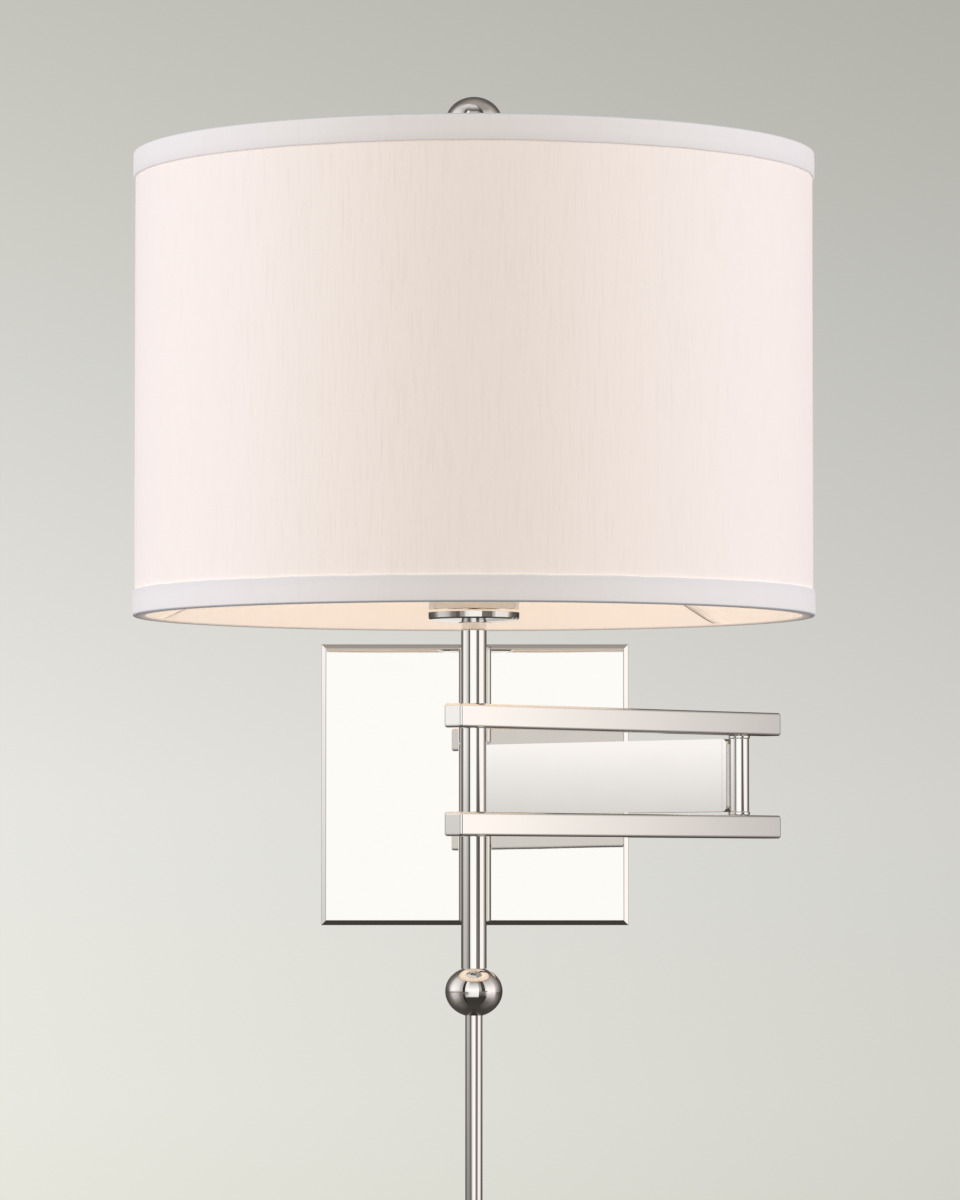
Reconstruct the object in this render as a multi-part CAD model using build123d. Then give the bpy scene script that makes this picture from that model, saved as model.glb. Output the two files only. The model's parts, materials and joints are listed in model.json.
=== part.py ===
"""Swing arm wall sconce: a wall plate, two vertical hinges, a lamp post and a drum shade.

Millimetres. Origin at the centre of the wall plate's rear face, +Z up, +Y into the wall,
+X to the right when facing the wall.
"""

from build123d import *
from math import cos, radians, sin
import os

# ---- clearances -------------------------------------------------------------------------
RUNNING_FIT = 0.05      # radial, shaft in bore
SEAT_GAP = 0.1          # between faces that are seated, glued or clamped
THRUST_GAP = 0.15       # each side of a thrust washer
WASHER_THICKNESS = 1.7

# ---- wall plate -------------------------------------------------------------------------
PLATE_WIDTH = 177.8
PLATE_HEIGHT = 162.5
PLATE_DEPTH = 20.0
PLATE_WALL = 1.5
PLATE_BEVEL = 2.6
PLATE_CREASE = 1.2        # the rounding between the plate's face and its bevel
PLATE_RIM = 0.7           # the rounding between its bevel and its sides
STRAP_WIDTH = 22.0
STRAP_THICKNESS = 2.0
STRAP_TAB_DEPTH = 13.0
STRAP_TAB_THICKNESS = 3.0
BOX_SCREW_SPACING = 88.9
BOX_SLOT_LENGTH = 12.0
BOX_SLOT_WIDTH = 5.0
PLATE_SCREW_RADIUS = 2.0
PLATE_SCREW_LENGTH = 8.0
HEX_KEY_RADIUS = 1.15
HEX_KEY_DEPTH = 2.0

# ---- wall hinge -------------------------------------------------------------------------
HINGE_STANDOFF = 12.0   # hinge axis in front of the plate's face
HINGE_TUBE_RADIUS = 9.5
HINGE_PIN_RADIUS = 5.0
HINGE_FOOT_WIDTH = 8.0
HINGE_INSET = 2.0       # from the plate's top and bottom edges to the ends of the hinge
HINGE_CAP_THICKNESS = 1.6
HINGE_CAP_ROUND = 0.6

# ---- arms -------------------------------------------------------------------------------
ARM_LENGTH_INNER = 216.0
ARM_LENGTH_OUTER = 216.0
ARM_ANGLE_INNER = 47.6  # inner arm's heading at rest, from +X towards the room
ARM_ANGLE_OUTER = 132.4  # outer arm's heading at rest, from elbow to post
ARM_MID_Z = 2.4
FLAT_HEIGHT = 40.0      # inner arm's flat section
FLAT_THICKNESS = 12.7
FLAT_WALL = 1.6
FLAT_END_ROUND = 3.0
PLUG_LENGTH = 3.3
PLUG_SPIGOT = 6.0
PLUG_TO_ELBOW = 3.7     # from the flat section's end to the elbow axis
BAR_SIZE = 12.7         # outer arm's square bars
BAR_PAST_ELBOW = 29.0
BAR_PAST_POST = 16.5
BAR_EDGE = 1.5          # radius of the bars' edges and corners
ELBOW_BARREL_RADIUS = 5.5
ELBOW_WASHER_RADIUS = 6.0
ELBOW_PIN_RADIUS = 3.0
WASHER_ROUND = 0.5

# ---- lamp post --------------------------------------------------------------------------
POST_RADIUS = 6.65
POST_WALL = 1.2
PIPE_RADIUS = 4.8       # threaded pipe that holds the post together
PIPE_WALL = 1.3
BALL_RADIUS = 15.0
BALL_HALF_HEIGHT = 13.3
BALL_DROP = 81.0        # from the lower bar's underside to the ball's centre
POST_BALL_OVERLAP = 2.3  # how far the post reaches into the ball's top
PIPE_IN_BALL = 9.0      # how far the pipe reaches below the ball's top
DROP_TUBE_RADIUS = 4.5
DROP_TUBE_WALL = 1.0
DROP_TUBE_LENGTH = 202.0
DROP_TUBE_SEAT = 9.0    # how far the drop tube reaches into the ball
CORD_HOLE_RADIUS = 2.8
BUSHING_FLANGE = 1.6
BUSHING_SPIGOT = 8.0

# ---- lamp holder ------------------------------------------------------------------------
CUP_RADIUS = 24.4
CUP_HUB_RADIUS = 9.5
CUP_BASE_ABOVE_ARMS = 77.3  # from the arms' mid height to the cup's underside
CUP_HEIGHT = 6.8
CUP_BAND = 5.4          # height of the cup's upright side
CUP_SHOULDER = 1.7      # the rounding between the side and the top
CUP_CORNER = 0.8        # the broken edge at the side's foot
CUP_DRAFT = 0.36        # how much narrower the side is at its foot
CUP_BELLY = (17.0, 0.58)  # a point of the cup's underside: radius, and height above its lowest
SADDLE_THICKNESS = 1.5
SADDLE_WIDTH = 24.0
SADDLE_HALF_SPAN = 20.5
SADDLE_FLANGE_HEIGHT = 3.6
SLEEVE_RADIUS = 3.2
SLEEVE_HEIGHT = 8.0
HARP_WIRE_RADIUS = 1.6
HARP_HALF_WIDTH = 56.0
HARP_HEIGHT = 213.5
HARP_TOP_HALF_WIDTH = 22.0
HARP_LEG_SHARE = 0.12   # share of the harp's height where its straight legs end
HARP_BELLY_SHARES = (0.34, 0.68)  # shares of its height between which it is widest
HARP_BEND_SHARES = (0.5, 0.7, 0.7, 0.42)  # bend radii, as shares of its half width
HARP_WASHER_RADIUS = 8.0
HARP_WASHER_THICKNESS = 2.0
STUD_RADIUS = 3.1
STUD_LENGTH = 17.0
NUT_RADIUS = 8.0
NUT_HEIGHT = 4.0
SOCKET_RADIUS = 16.5
SOCKET_WALL = 0.8
SOCKET_CAP_HEIGHT = 13.0
SOCKET_NECK_HEIGHT = 4.5
SOCKET_FLARE_HEIGHT = 9.0  # where the cap reaches its full radius
SOCKET_SHELL_HEIGHT = 43.0
INSULATOR_WALL = 0.7
SWITCH_BLOCK_HEIGHT = 16.0
SCREW_SHELL_RADIUS = 13.9
SCREW_SHELL_WALL = 0.4
SCREW_SHELL_HEIGHT = 26.0
KNOB_SHAFT_RADIUS = 1.6
KNOB_SHAFT_DEPTH = 7.0  # how far the switch shaft reaches into the block
KNOB_RADIUS = 6.5
KNOB_LENGTH = 9.0
KNOB_REACH = 22.0       # from the lamp's axis to the knob's inner face
KNOB_FLAT = 2.2         # half thickness of the knob's finger grip
BULB_RADIUS = 30.0
BULB_SHOULDER_SHARE = 0.85  # share of the bulb's radius where its neck meets the globe
BULB_NECK_RADIUS = 13.6
BULB_NECK_LENGTH = 40.0
BULB_WALL = 1.2
BULB_BASE_RADIUS = 13.2
BULB_BASE_HEIGHT = 25.0
BULB_CONTACT_RADIUS = 5.0
BULB_CONTACT_HEIGHT = 3.0

# ---- shade ------------------------------------------------------------------------------
SHADE_RADIUS = 177.8
SHADE_HEIGHT = 243.2
FABRIC_THICKNESS = 0.75
LINER_THICKNESS = 1.0
TRIM_THICKNESS = 1.15
TRIM_HEIGHT = 13.6
TRIM_TURN_IN = 18.0
TRIM_FOLD = 0.8
RING_WIRE_RADIUS = 1.5
SPIDER_HUB_RADIUS = 13.0
SPIDER_HUB_THICKNESS = 2.0
SPIDER_DROP = 17.1      # from the shade's top edge down to the hub's top
SPIDER_SPOKE_RADIUS = 1.4
SPIDER_SPOKES = 3
SPOKE_CUTOUT = 0.4
FINIAL_BASE_RADIUS = 6.5
FINIAL_BASE_HEIGHT = 3.0
FINIAL_NECK_RADIUS = 4.6
FINIAL_ABOVE_HUB = 34.7     # from the spider hub's top to the finial ball's centre

# ---- heights worked out from the sizes above ----------------------------------------------
FLAT_TOP = ARM_MID_Z + FLAT_HEIGHT / 2
FLAT_BOTTOM = ARM_MID_Z - FLAT_HEIGHT / 2
WASHER_SPACE = WASHER_THICKNESS + 2 * THRUST_GAP
BAR_GAP_TOP = FLAT_TOP + WASHER_SPACE
BAR_GAP_BOTTOM = FLAT_BOTTOM - WASHER_SPACE
UPPER_BAR_TOP = BAR_GAP_TOP + BAR_SIZE
LOWER_BAR_BOTTOM = BAR_GAP_BOTTOM - BAR_SIZE
HINGE_REACH = PLATE_HEIGHT / 2 - HINGE_INSET
BALL_Z = LOWER_BAR_BOTTOM - BALL_DROP
BALL_TOP = BALL_Z + BALL_HALF_HEIGHT
BALL_BOTTOM = BALL_Z - BALL_HALF_HEIGHT
CUP_BOTTOM = ARM_MID_Z + CUP_BASE_ABOVE_ARMS
CUP_TOP = CUP_BOTTOM + CUP_HEIGHT
SADDLE_TOP = CUP_TOP + SEAT_GAP + SADDLE_THICKNESS
NUT_TOP = SADDLE_TOP + SEAT_GAP + NUT_HEIGHT
SOCKET_BOTTOM = SADDLE_TOP + SEAT_GAP
SHELL_BOTTOM = SOCKET_BOTTOM + SOCKET_CAP_HEIGHT
SHELL_TOP = SHELL_BOTTOM + SOCKET_SHELL_HEIGHT
SWITCH_BLOCK_BOTTOM = SHELL_BOTTOM + SEAT_GAP
SWITCH_BLOCK_TOP = SWITCH_BLOCK_BOTTOM + SWITCH_BLOCK_HEIGHT
KNOB_Z = SWITCH_BLOCK_BOTTOM + SWITCH_BLOCK_HEIGHT / 2
BULB_TIP = SWITCH_BLOCK_TOP + SEAT_GAP
BULB_SEAT = BULB_TIP + BULB_CONTACT_HEIGHT + BULB_BASE_HEIGHT
HARP_BOTTOM = CUP_TOP + 2 * SADDLE_THICKNESS
HARP_TOP = HARP_BOTTOM + HARP_HEIGHT
HUB_BOTTOM = HARP_TOP + HARP_WIRE_RADIUS + HARP_WASHER_THICKNESS + SEAT_GAP
HUB_TOP = HUB_BOTTOM + SPIDER_HUB_THICKNESS
STUD_TOP = HARP_TOP + HARP_WIRE_RADIUS + HARP_WASHER_THICKNESS + STUD_LENGTH
SHADE_TOP = HUB_TOP + SPIDER_DROP
SHADE_BOTTOM = SHADE_TOP - SHADE_HEIGHT
FINIAL_Z = HUB_TOP + FINIAL_ABOVE_HUB

# ---- radii and places worked out from the sizes above --------------------------------------
SOCKET_INNER = SOCKET_RADIUS - SOCKET_WALL
BLOCK_RADIUS = SOCKET_INNER - SEAT_GAP - INSULATOR_WALL - SEAT_GAP
LINER_OUTER = SHADE_RADIUS - FABRIC_THICKNESS - SEAT_GAP / 2
LINER_INNER = LINER_OUTER - LINER_THICKNESS
RING_RADIUS = LINER_INNER - SEAT_GAP - RING_WIRE_RADIUS
TRIM_OUTER = SHADE_RADIUS + SEAT_GAP / 2 + TRIM_THICKNESS
TRIM_INNER = RING_RADIUS - RING_WIRE_RADIUS - SEAT_GAP - TRIM_FOLD
BEVEL_Y = PLATE_BEVEL - PLATE_DEPTH
HINGE_Y = -(PLATE_DEPTH + HINGE_STANDOFF)
ELBOW = (
    ARM_LENGTH_INNER * cos(radians(ARM_ANGLE_INNER)),
    HINGE_Y - ARM_LENGTH_INNER * sin(radians(ARM_ANGLE_INNER)),
)
POST = (
    ELBOW[0] + ARM_LENGTH_OUTER * cos(radians(ARM_ANGLE_OUTER)),
    ELBOW[1] - ARM_LENGTH_OUTER * sin(radians(ARM_ANGLE_OUTER)),
)


# ---- shapes -----------------------------------------------------------------------------
def rod(radius, bottom, top):
    """An upright round bar about the Z axis."""
    return Pos(0, 0, (bottom + top) / 2) * Cylinder(radius, top - bottom)


def tube(outer, inner, bottom, top):
    """An upright tube about the Z axis."""
    return rod(outer, bottom, top) - rod(inner, bottom - 1, top + 1)


def block(x_low, x_high, y_low, y_high, z_low, z_high):
    """A box given by its corners."""
    middle = Pos((x_low + x_high) / 2, (y_low + y_high) / 2, (z_low + z_high) / 2)
    return middle * Box(x_high - x_low, y_high - y_low, z_high - z_low)


def turned(points):
    """A solid of revolution about Z from an outline of (radius, height) points."""
    outline = make_face(Polyline(*[(r, 0, z) for r, z in points], close=True))
    return revolve(outline, Axis.Z, 360)


def flat_ball(middle_z):
    """The flattened ball that the post and the finial share."""
    squeeze = (1, 1, BALL_HALF_HEIGHT / BALL_RADIUS)
    return Pos(0, 0, middle_z) * scale(Sphere(BALL_RADIUS), by=squeeze)


def rounded_rims(shape, radius):
    """Rounds every circular edge that bounds a turned shape at its lowest and highest faces."""
    rims = shape.edges().filter_by(GeomType.CIRCLE).group_by(Axis.Z)
    outer = [max(group, key=lambda edge: edge.radius) for group in (rims[0], rims[-1])]
    return fillet(outer, radius)


def on_hinge(shape):
    """Places a shape drawn about the wall hinge's axis."""
    return Pos(0, HINGE_Y, 0) * shape


def on_inner_arm(shape):
    """Places a shape drawn along +X from the wall hinge."""
    return Pos(0, HINGE_Y, 0) * Rot(0, 0, -ARM_ANGLE_INNER) * shape


def on_outer_arm(shape):
    """Places a shape drawn along +X from the elbow."""
    return Pos(*ELBOW, 0) * Rot(0, 0, -ARM_ANGLE_OUTER) * shape


def on_post(shape):
    """Places a shape drawn about the lamp post's axis."""
    return Pos(*POST, 0) * shape


# ---- wall plate -------------------------------------------------------------------------
def plate_screw_places():
    """The two grub screws, one up through the plate's top edge and one down through its foot."""
    y = -(STRAP_THICKNESS + STRAP_TAB_DEPTH) / 2
    return [Pos(0, y, 0), Pos(0, y, 0) * Rot(180, 0, 0)]


def backplate():
    """A shallow pan, open to the wall, with a bevelled face."""
    half_w = PLATE_WIDTH / 2
    half_h = PLATE_HEIGHT / 2
    pan = block(-half_w, half_w, -PLATE_DEPTH, 0, -half_h, half_h)
    pan = chamfer(pan.faces().sort_by(Axis.Y)[0].edges(), PLATE_BEVEL)
    pan = fillet(pan.faces().sort_by(Axis.Y)[0].edges(), PLATE_CREASE)
    rim = pan.edges().filter_by_position(Axis.Y, BEVEL_Y - SEAT_GAP, BEVEL_Y + SEAT_GAP)
    pan = fillet(rim, PLATE_RIM)
    inner_w = half_w - PLATE_WALL
    inner_h = half_h - PLATE_WALL
    room = block(-inner_w, inner_w, PLATE_WALL - PLATE_DEPTH, 1, -inner_h, inner_h)
    room = chamfer(room.faces().sort_by(Axis.Y)[0].edges(), PLATE_BEVEL - PLATE_WALL / 2)
    pan -= room
    for place in plate_screw_places():
        pan -= place * rod(PLATE_SCREW_RADIUS + RUNNING_FIT, inner_h - 1, half_h + 1)
    return pan


def strap_half_length():
    return PLATE_HEIGHT / 2 - PLATE_WALL - SEAT_GAP


def mounting_strap():
    """The strap that is screwed to the outlet box; its tabs hold the plate's grub screws."""
    half = strap_half_length()
    side = STRAP_WIDTH / 2
    strap = block(-side, side, -STRAP_THICKNESS, 0, -half, half)
    tab = block(-side, side, -STRAP_TAB_DEPTH, 0, half - STRAP_TAB_THICKNESS, half)
    strap += tab + mirror(tab, about=Plane.XY)
    outline = Rot(0, 0, 90) * SlotOverall(BOX_SLOT_LENGTH, BOX_SLOT_WIDTH)
    slot = Rot(90, 0, 0) * extrude(outline, 2 * STRAP_THICKNESS, both=True)
    for half_spacing in (-BOX_SCREW_SPACING / 2, BOX_SCREW_SPACING / 2):
        strap -= Pos(0, 0, half_spacing) * slot
    for place in plate_screw_places():
        strap -= place * rod(PLATE_SCREW_RADIUS + RUNNING_FIT, half - PLATE_SCREW_LENGTH, half + 1)
    return strap


def plate_screws():
    """Two socket grub screws that sit flush with the plate's edges."""
    top = PLATE_HEIGHT / 2
    screw = rod(PLATE_SCREW_RADIUS, top - PLATE_SCREW_LENGTH, top)
    key = extrude(RegularPolygon(HEX_KEY_RADIUS, 6), HEX_KEY_DEPTH + 1)
    screw -= Pos(0, 0, top - HEX_KEY_DEPTH) * key
    return Compound(children=[place * screw for place in plate_screw_places()])


# ---- wall hinge -------------------------------------------------------------------------
def fixed_knuckle(bottom, top):
    """A hinge tube with the foot that is brazed to the plate's face."""
    foot = block(
        -HINGE_FOOT_WIDTH / 2, HINGE_FOOT_WIDTH / 2,
        HINGE_Y + HINGE_PIN_RADIUS, -PLATE_DEPTH, bottom, top,
    )
    bore = on_hinge(rod(HINGE_PIN_RADIUS + RUNNING_FIT, bottom - 1, top + 1))
    return on_hinge(rod(HINGE_TUBE_RADIUS, bottom, top)) + foot - bore


def hinge_cap():
    cap = rod(HINGE_TUBE_RADIUS, HINGE_REACH - HINGE_CAP_THICKNESS, HINGE_REACH)
    rim = cap.edges().filter_by(GeomType.CIRCLE).sort_by(Axis.Z)[-1]
    return fillet(rim, HINGE_CAP_ROUND)


def hinge_caps():
    """Thin covers over the hinge tube's two ends."""
    return Compound(children=[on_hinge(hinge_cap()), on_hinge(Rot(180, 0, 0) * hinge_cap())])


def hinge_pin():
    reach = HINGE_REACH - HINGE_CAP_THICKNESS - SEAT_GAP
    return on_hinge(rod(HINGE_PIN_RADIUS, -reach, reach))


def washer_pair(outer, bore):
    """Thrust washers over and under the inner arm's height, about the Z axis."""
    over = FLAT_TOP + THRUST_GAP
    under = FLAT_BOTTOM - THRUST_GAP - WASHER_THICKNESS
    washer = rounded_rims(tube(outer, bore, 0, WASHER_THICKNESS), WASHER_ROUND)
    return [Pos(0, 0, over) * washer, Pos(0, 0, under) * washer]


def hinge_washers():
    pair = washer_pair(HINGE_TUBE_RADIUS - WASHER_ROUND, HINGE_PIN_RADIUS + RUNNING_FIT)
    return Compound(children=[on_hinge(washer) for washer in pair])


# ---- inner arm --------------------------------------------------------------------------
def flat_end():
    """Where the flat section stops, short of the elbow axis."""
    return ARM_LENGTH_INNER - PLUG_TO_ELBOW


def flat_bar(x_low, x_high, inset=0.0):
    """A length of the inner arm's section, or of the space inside it."""
    side = FLAT_THICKNESS / 2 - inset
    return block(x_low, x_high, -side, side, FLAT_BOTTOM + inset, FLAT_TOP - inset)


def flat_start():
    return HINGE_TUBE_RADIUS + PLUG_LENGTH


def inner_arm():
    """The wide flat tube between the wall hinge and the elbow."""
    start = flat_start()
    end = flat_end() - PLUG_LENGTH
    tube_bar = flat_bar(start, end) - flat_bar(start - 1, end + 1, FLAT_WALL)
    return on_inner_arm(tube_bar)


def arm_plugs():
    """The two end plugs: one saddled on the middle knuckle, one on the elbow barrel."""
    start = flat_start() - SEAT_GAP
    inset = FLAT_WALL + RUNNING_FIT
    wall_plug = flat_bar(0, start) + flat_bar(start, start + PLUG_SPIGOT, inset)
    wall_plug -= rod(HINGE_TUBE_RADIUS + RUNNING_FIT, FLAT_BOTTOM - 1, FLAT_TOP + 1)
    end = flat_end()
    elbow_plug = flat_bar(end - PLUG_LENGTH + SEAT_GAP, end)
    corners = elbow_plug.edges().filter_by(Axis.Y).group_by(Axis.X)[-1]
    elbow_plug = fillet(corners, FLAT_END_ROUND)
    elbow_plug += flat_bar(end - PLUG_LENGTH - PLUG_SPIGOT, end - PLUG_LENGTH + SEAT_GAP, inset)
    barrel = rod(ELBOW_BARREL_RADIUS + RUNNING_FIT, FLAT_BOTTOM - 1, FLAT_TOP + 1)
    elbow_plug -= Pos(ARM_LENGTH_INNER, 0, 0) * barrel
    return Compound(children=[on_inner_arm(wall_plug), on_inner_arm(elbow_plug)])


def arm_knuckle():
    bore = HINGE_PIN_RADIUS + RUNNING_FIT
    return on_hinge(tube(HINGE_TUBE_RADIUS, bore, FLAT_BOTTOM, FLAT_TOP))


def elbow_barrel():
    bore = ELBOW_PIN_RADIUS + RUNNING_FIT
    return Pos(*ELBOW, 0) * tube(ELBOW_BARREL_RADIUS, bore, FLAT_BOTTOM, FLAT_TOP)


# ---- outer arm --------------------------------------------------------------------------
def square_bar(bottom):
    """One square bar, drilled for the elbow pin and for the post's threaded pipe."""
    side = BAR_SIZE / 2
    far_end = ARM_LENGTH_OUTER + BAR_PAST_POST
    bar = block(-BAR_PAST_ELBOW, far_end, -side, side, bottom, bottom + BAR_SIZE)
    bar = fillet(bar.edges(), BAR_EDGE)
    bar -= rod(ELBOW_PIN_RADIUS + RUNNING_FIT, bottom - 1, bottom + BAR_SIZE + 1)
    pipe_hole = rod(PIPE_RADIUS + RUNNING_FIT, bottom - 1, bottom + BAR_SIZE + 1)
    bar -= Pos(ARM_LENGTH_OUTER, 0, 0) * pipe_hole
    return on_outer_arm(bar)


def elbow_pin():
    pin = rod(ELBOW_PIN_RADIUS, LOWER_BAR_BOTTOM, UPPER_BAR_TOP)
    return Pos(*ELBOW, 0) * pin


def elbow_washers():
    pair = washer_pair(ELBOW_WASHER_RADIUS, ELBOW_PIN_RADIUS + RUNNING_FIT)
    return Compound(children=[Pos(*ELBOW, 0) * washer for washer in pair])


# ---- lamp post --------------------------------------------------------------------------
def post_tube(bottom, top):
    """A length of post tube that is clamped between two faces."""
    return on_post(tube(POST_RADIUS, POST_RADIUS - POST_WALL, bottom + SEAT_GAP, top - SEAT_GAP))


def threaded_pipe():
    """The hollow threaded pipe that runs from the ball to the lamp holder."""
    return on_post(tube(PIPE_RADIUS, PIPE_RADIUS - PIPE_WALL, BALL_TOP - PIPE_IN_BALL, NUT_TOP))


def post_ball():
    """The flattened ball, counterbored for the post above and for the drop tube below."""
    ball = flat_ball(BALL_Z)
    ball -= rod(POST_RADIUS + RUNNING_FIT, BALL_TOP - POST_BALL_OVERLAP, BALL_TOP + 1)
    ball -= rod(PIPE_RADIUS + RUNNING_FIT, BALL_TOP - PIPE_IN_BALL, BALL_TOP)
    ball -= rod(DROP_TUBE_RADIUS + RUNNING_FIT, BALL_BOTTOM - 1, BALL_BOTTOM + DROP_TUBE_SEAT)
    ball -= rod(CORD_HOLE_RADIUS, BALL_BOTTOM, BALL_TOP)
    return on_post(ball)


def drop_tube_bottom():
    return BALL_BOTTOM + DROP_TUBE_SEAT - DROP_TUBE_LENGTH


def drop_tube():
    """The thin tube below the ball, which leads the cord down."""
    top = BALL_BOTTOM + DROP_TUBE_SEAT - SEAT_GAP
    inner = DROP_TUBE_RADIUS - DROP_TUBE_WALL
    return on_post(tube(DROP_TUBE_RADIUS, inner, drop_tube_bottom(), top))


def cord_bushing():
    """The bushing in the drop tube's foot, where the cord goes in."""
    foot = drop_tube_bottom() - SEAT_GAP
    flange = rod(DROP_TUBE_RADIUS, foot - BUSHING_FLANGE, foot)
    spigot_radius = DROP_TUBE_RADIUS - DROP_TUBE_WALL - RUNNING_FIT
    bushing = flange + rod(spigot_radius, foot - BUSHING_FLANGE, foot + BUSHING_SPIGOT)
    bushing -= rod(CORD_HOLE_RADIUS, foot - 2 * BUSHING_FLANGE, foot + 2 * BUSHING_SPIGOT)
    return on_post(bushing)


# ---- lamp holder ------------------------------------------------------------------------
def socket_cup():
    """The shallow round cup on top of the post: a drafted side with a round shoulder, over a slight belly."""
    side_low = CUP_TOP - CUP_BAND
    foot = CUP_RADIUS - CUP_DRAFT
    belly_radius, belly_rise = CUP_BELLY
    underside = ThreePointArc(
        (CUP_HUB_RADIUS, 0, CUP_BOTTOM), (belly_radius, 0, CUP_BOTTOM + belly_rise),
        (foot - CUP_CORNER, 0, side_low),
    )
    side = Polyline(
        (foot - CUP_CORNER, 0, side_low), (foot, 0, side_low + CUP_CORNER),
        (CUP_RADIUS, 0, CUP_TOP - CUP_SHOULDER),
    )
    inset = CUP_SHOULDER * (1 - sin(radians(45)))
    shoulder = ThreePointArc(
        (CUP_RADIUS, 0, CUP_TOP - CUP_SHOULDER), (CUP_RADIUS - inset, 0, CUP_TOP - inset),
        (CUP_RADIUS - CUP_SHOULDER, 0, CUP_TOP),
    )
    rest = Polyline(
        (CUP_RADIUS - CUP_SHOULDER, 0, CUP_TOP), (0, 0, CUP_TOP),
        (0, 0, CUP_BOTTOM), (CUP_HUB_RADIUS, 0, CUP_BOTTOM),
    )
    cup = revolve(make_face(underside + side + shoulder + rest), Axis.Z, 360)
    return on_post(cup - rod(PIPE_RADIUS + RUNNING_FIT, CUP_BOTTOM - 1, CUP_TOP + 1))


def harp_saddle():
    """The channel under the lamp holder, with a sleeve at each end for the harp's legs."""
    low = CUP_TOP + SEAT_GAP
    half_width = SADDLE_WIDTH / 2
    saddle = block(-SADDLE_HALF_SPAN, SADDLE_HALF_SPAN, -half_width, half_width, low, SADDLE_TOP)
    flange = block(
        -SADDLE_HALF_SPAN, SADDLE_HALF_SPAN, -half_width, SADDLE_THICKNESS - half_width,
        low, SADDLE_TOP + SADDLE_FLANGE_HEIGHT,
    )
    saddle += flange + mirror(flange, about=Plane.XZ)
    for side in (-1, 1):
        saddle += Pos(side * SADDLE_HALF_SPAN, 0, 0) * rod(SLEEVE_RADIUS, low, low + SLEEVE_HEIGHT)
        leg_room = rod(HARP_WIRE_RADIUS + RUNNING_FIT, SADDLE_TOP, low + SLEEVE_HEIGHT + 1)
        saddle -= Pos(side * SADDLE_HALF_SPAN, 0, 0) * leg_room
    return on_post(saddle - rod(PIPE_RADIUS + RUNNING_FIT, low - 1, SADDLE_TOP + 1))


def pipe_nut():
    """The nut that clamps the post, the cup and the saddle together."""
    nut = Pos(0, 0, SADDLE_TOP + SEAT_GAP) * extrude(RegularPolygon(NUT_RADIUS, 6), NUT_HEIGHT)
    return on_post(nut - rod(PIPE_RADIUS + RUNNING_FIT, SADDLE_TOP - 1, NUT_TOP + 1))


def harp():
    """The wire loop over the bulb, with the threaded stud that carries the shade."""
    leg_top = HARP_BOTTOM + HARP_HEIGHT * HARP_LEG_SHARE
    belly_low, belly_high = [HARP_BOTTOM + HARP_HEIGHT * share for share in HARP_BELLY_SHARES]
    side = [
        (SADDLE_HALF_SPAN, HARP_BOTTOM), (SADDLE_HALF_SPAN, leg_top), (HARP_HALF_WIDTH, belly_low),
        (HARP_HALF_WIDTH, belly_high), (HARP_TOP_HALF_WIDTH, HARP_TOP),
    ]
    radii = [HARP_HALF_WIDTH * share for share in HARP_BEND_SHARES]
    points = [(-x, 0, z) for x, z in side] + [(x, 0, z) for x, z in reversed(side)]
    path = FilletPolyline(*points, radius=radii + radii[::-1])
    section = Pos(-SADDLE_HALF_SPAN, 0, HARP_BOTTOM) * Circle(HARP_WIRE_RADIUS)
    loop = sweep(section, path)
    washer_low = HARP_TOP + HARP_WIRE_RADIUS / 2
    washer_top = HARP_TOP + HARP_WIRE_RADIUS + HARP_WASHER_THICKNESS
    loop += rod(HARP_WASHER_RADIUS, washer_low, washer_top)
    return on_post(loop + rod(STUD_RADIUS, washer_low, STUD_TOP))


def socket_cap():
    """The cap at the foot of the lamp holder: a neck over the pipe's nut, flaring to full width."""
    neck_top = SOCKET_BOTTOM + SOCKET_NECK_HEIGHT
    flare_top = SOCKET_BOTTOM + SOCKET_FLARE_HEIGHT
    nut_room = NUT_RADIUS + SEAT_GAP
    neck = nut_room + SOCKET_WALL
    outer = turned([
        (0, SOCKET_BOTTOM), (neck, SOCKET_BOTTOM), (neck, neck_top), (SOCKET_RADIUS, flare_top),
        (SOCKET_RADIUS, SHELL_BOTTOM), (0, SHELL_BOTTOM),
    ])
    room = turned([
        (0, SOCKET_BOTTOM - 1), (nut_room, SOCKET_BOTTOM - 1), (nut_room, neck_top + SOCKET_WALL),
        (SOCKET_INNER, flare_top), (SOCKET_INNER, SHELL_BOTTOM + 1), (0, SHELL_BOTTOM + 1),
    ])
    return on_post(outer - room)


def knob_bore(radius):
    """A horizontal bore for the switch shaft, from the lamp's axis towards the room."""
    return Pos(0, 0, KNOB_Z) * Rot(90, 0, 0) * rod(radius, 0, KNOB_REACH)


def socket_shell():
    shell = tube(SOCKET_RADIUS, SOCKET_INNER, SHELL_BOTTOM + SEAT_GAP, SHELL_TOP)
    return on_post(shell - knob_bore(2 * KNOB_SHAFT_RADIUS))


def socket_insulator():
    outer = SOCKET_INNER - SEAT_GAP
    sleeve = tube(outer, outer - INSULATOR_WALL, SHELL_BOTTOM + SEAT_GAP, SHELL_TOP)
    return on_post(sleeve - knob_bore(2 * KNOB_SHAFT_RADIUS))


def switch_block():
    """The moulded block that holds the switch and the screw shell."""
    body = rod(BLOCK_RADIUS, SWITCH_BLOCK_BOTTOM, SWITCH_BLOCK_TOP)
    shaft_end = BLOCK_RADIUS - KNOB_SHAFT_DEPTH
    bore = Pos(0, 0, KNOB_Z) * Rot(90, 0, 0) * rod(
        KNOB_SHAFT_RADIUS + RUNNING_FIT, shaft_end - SEAT_GAP, BLOCK_RADIUS + 1
    )
    return on_post(body - bore)


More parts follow.
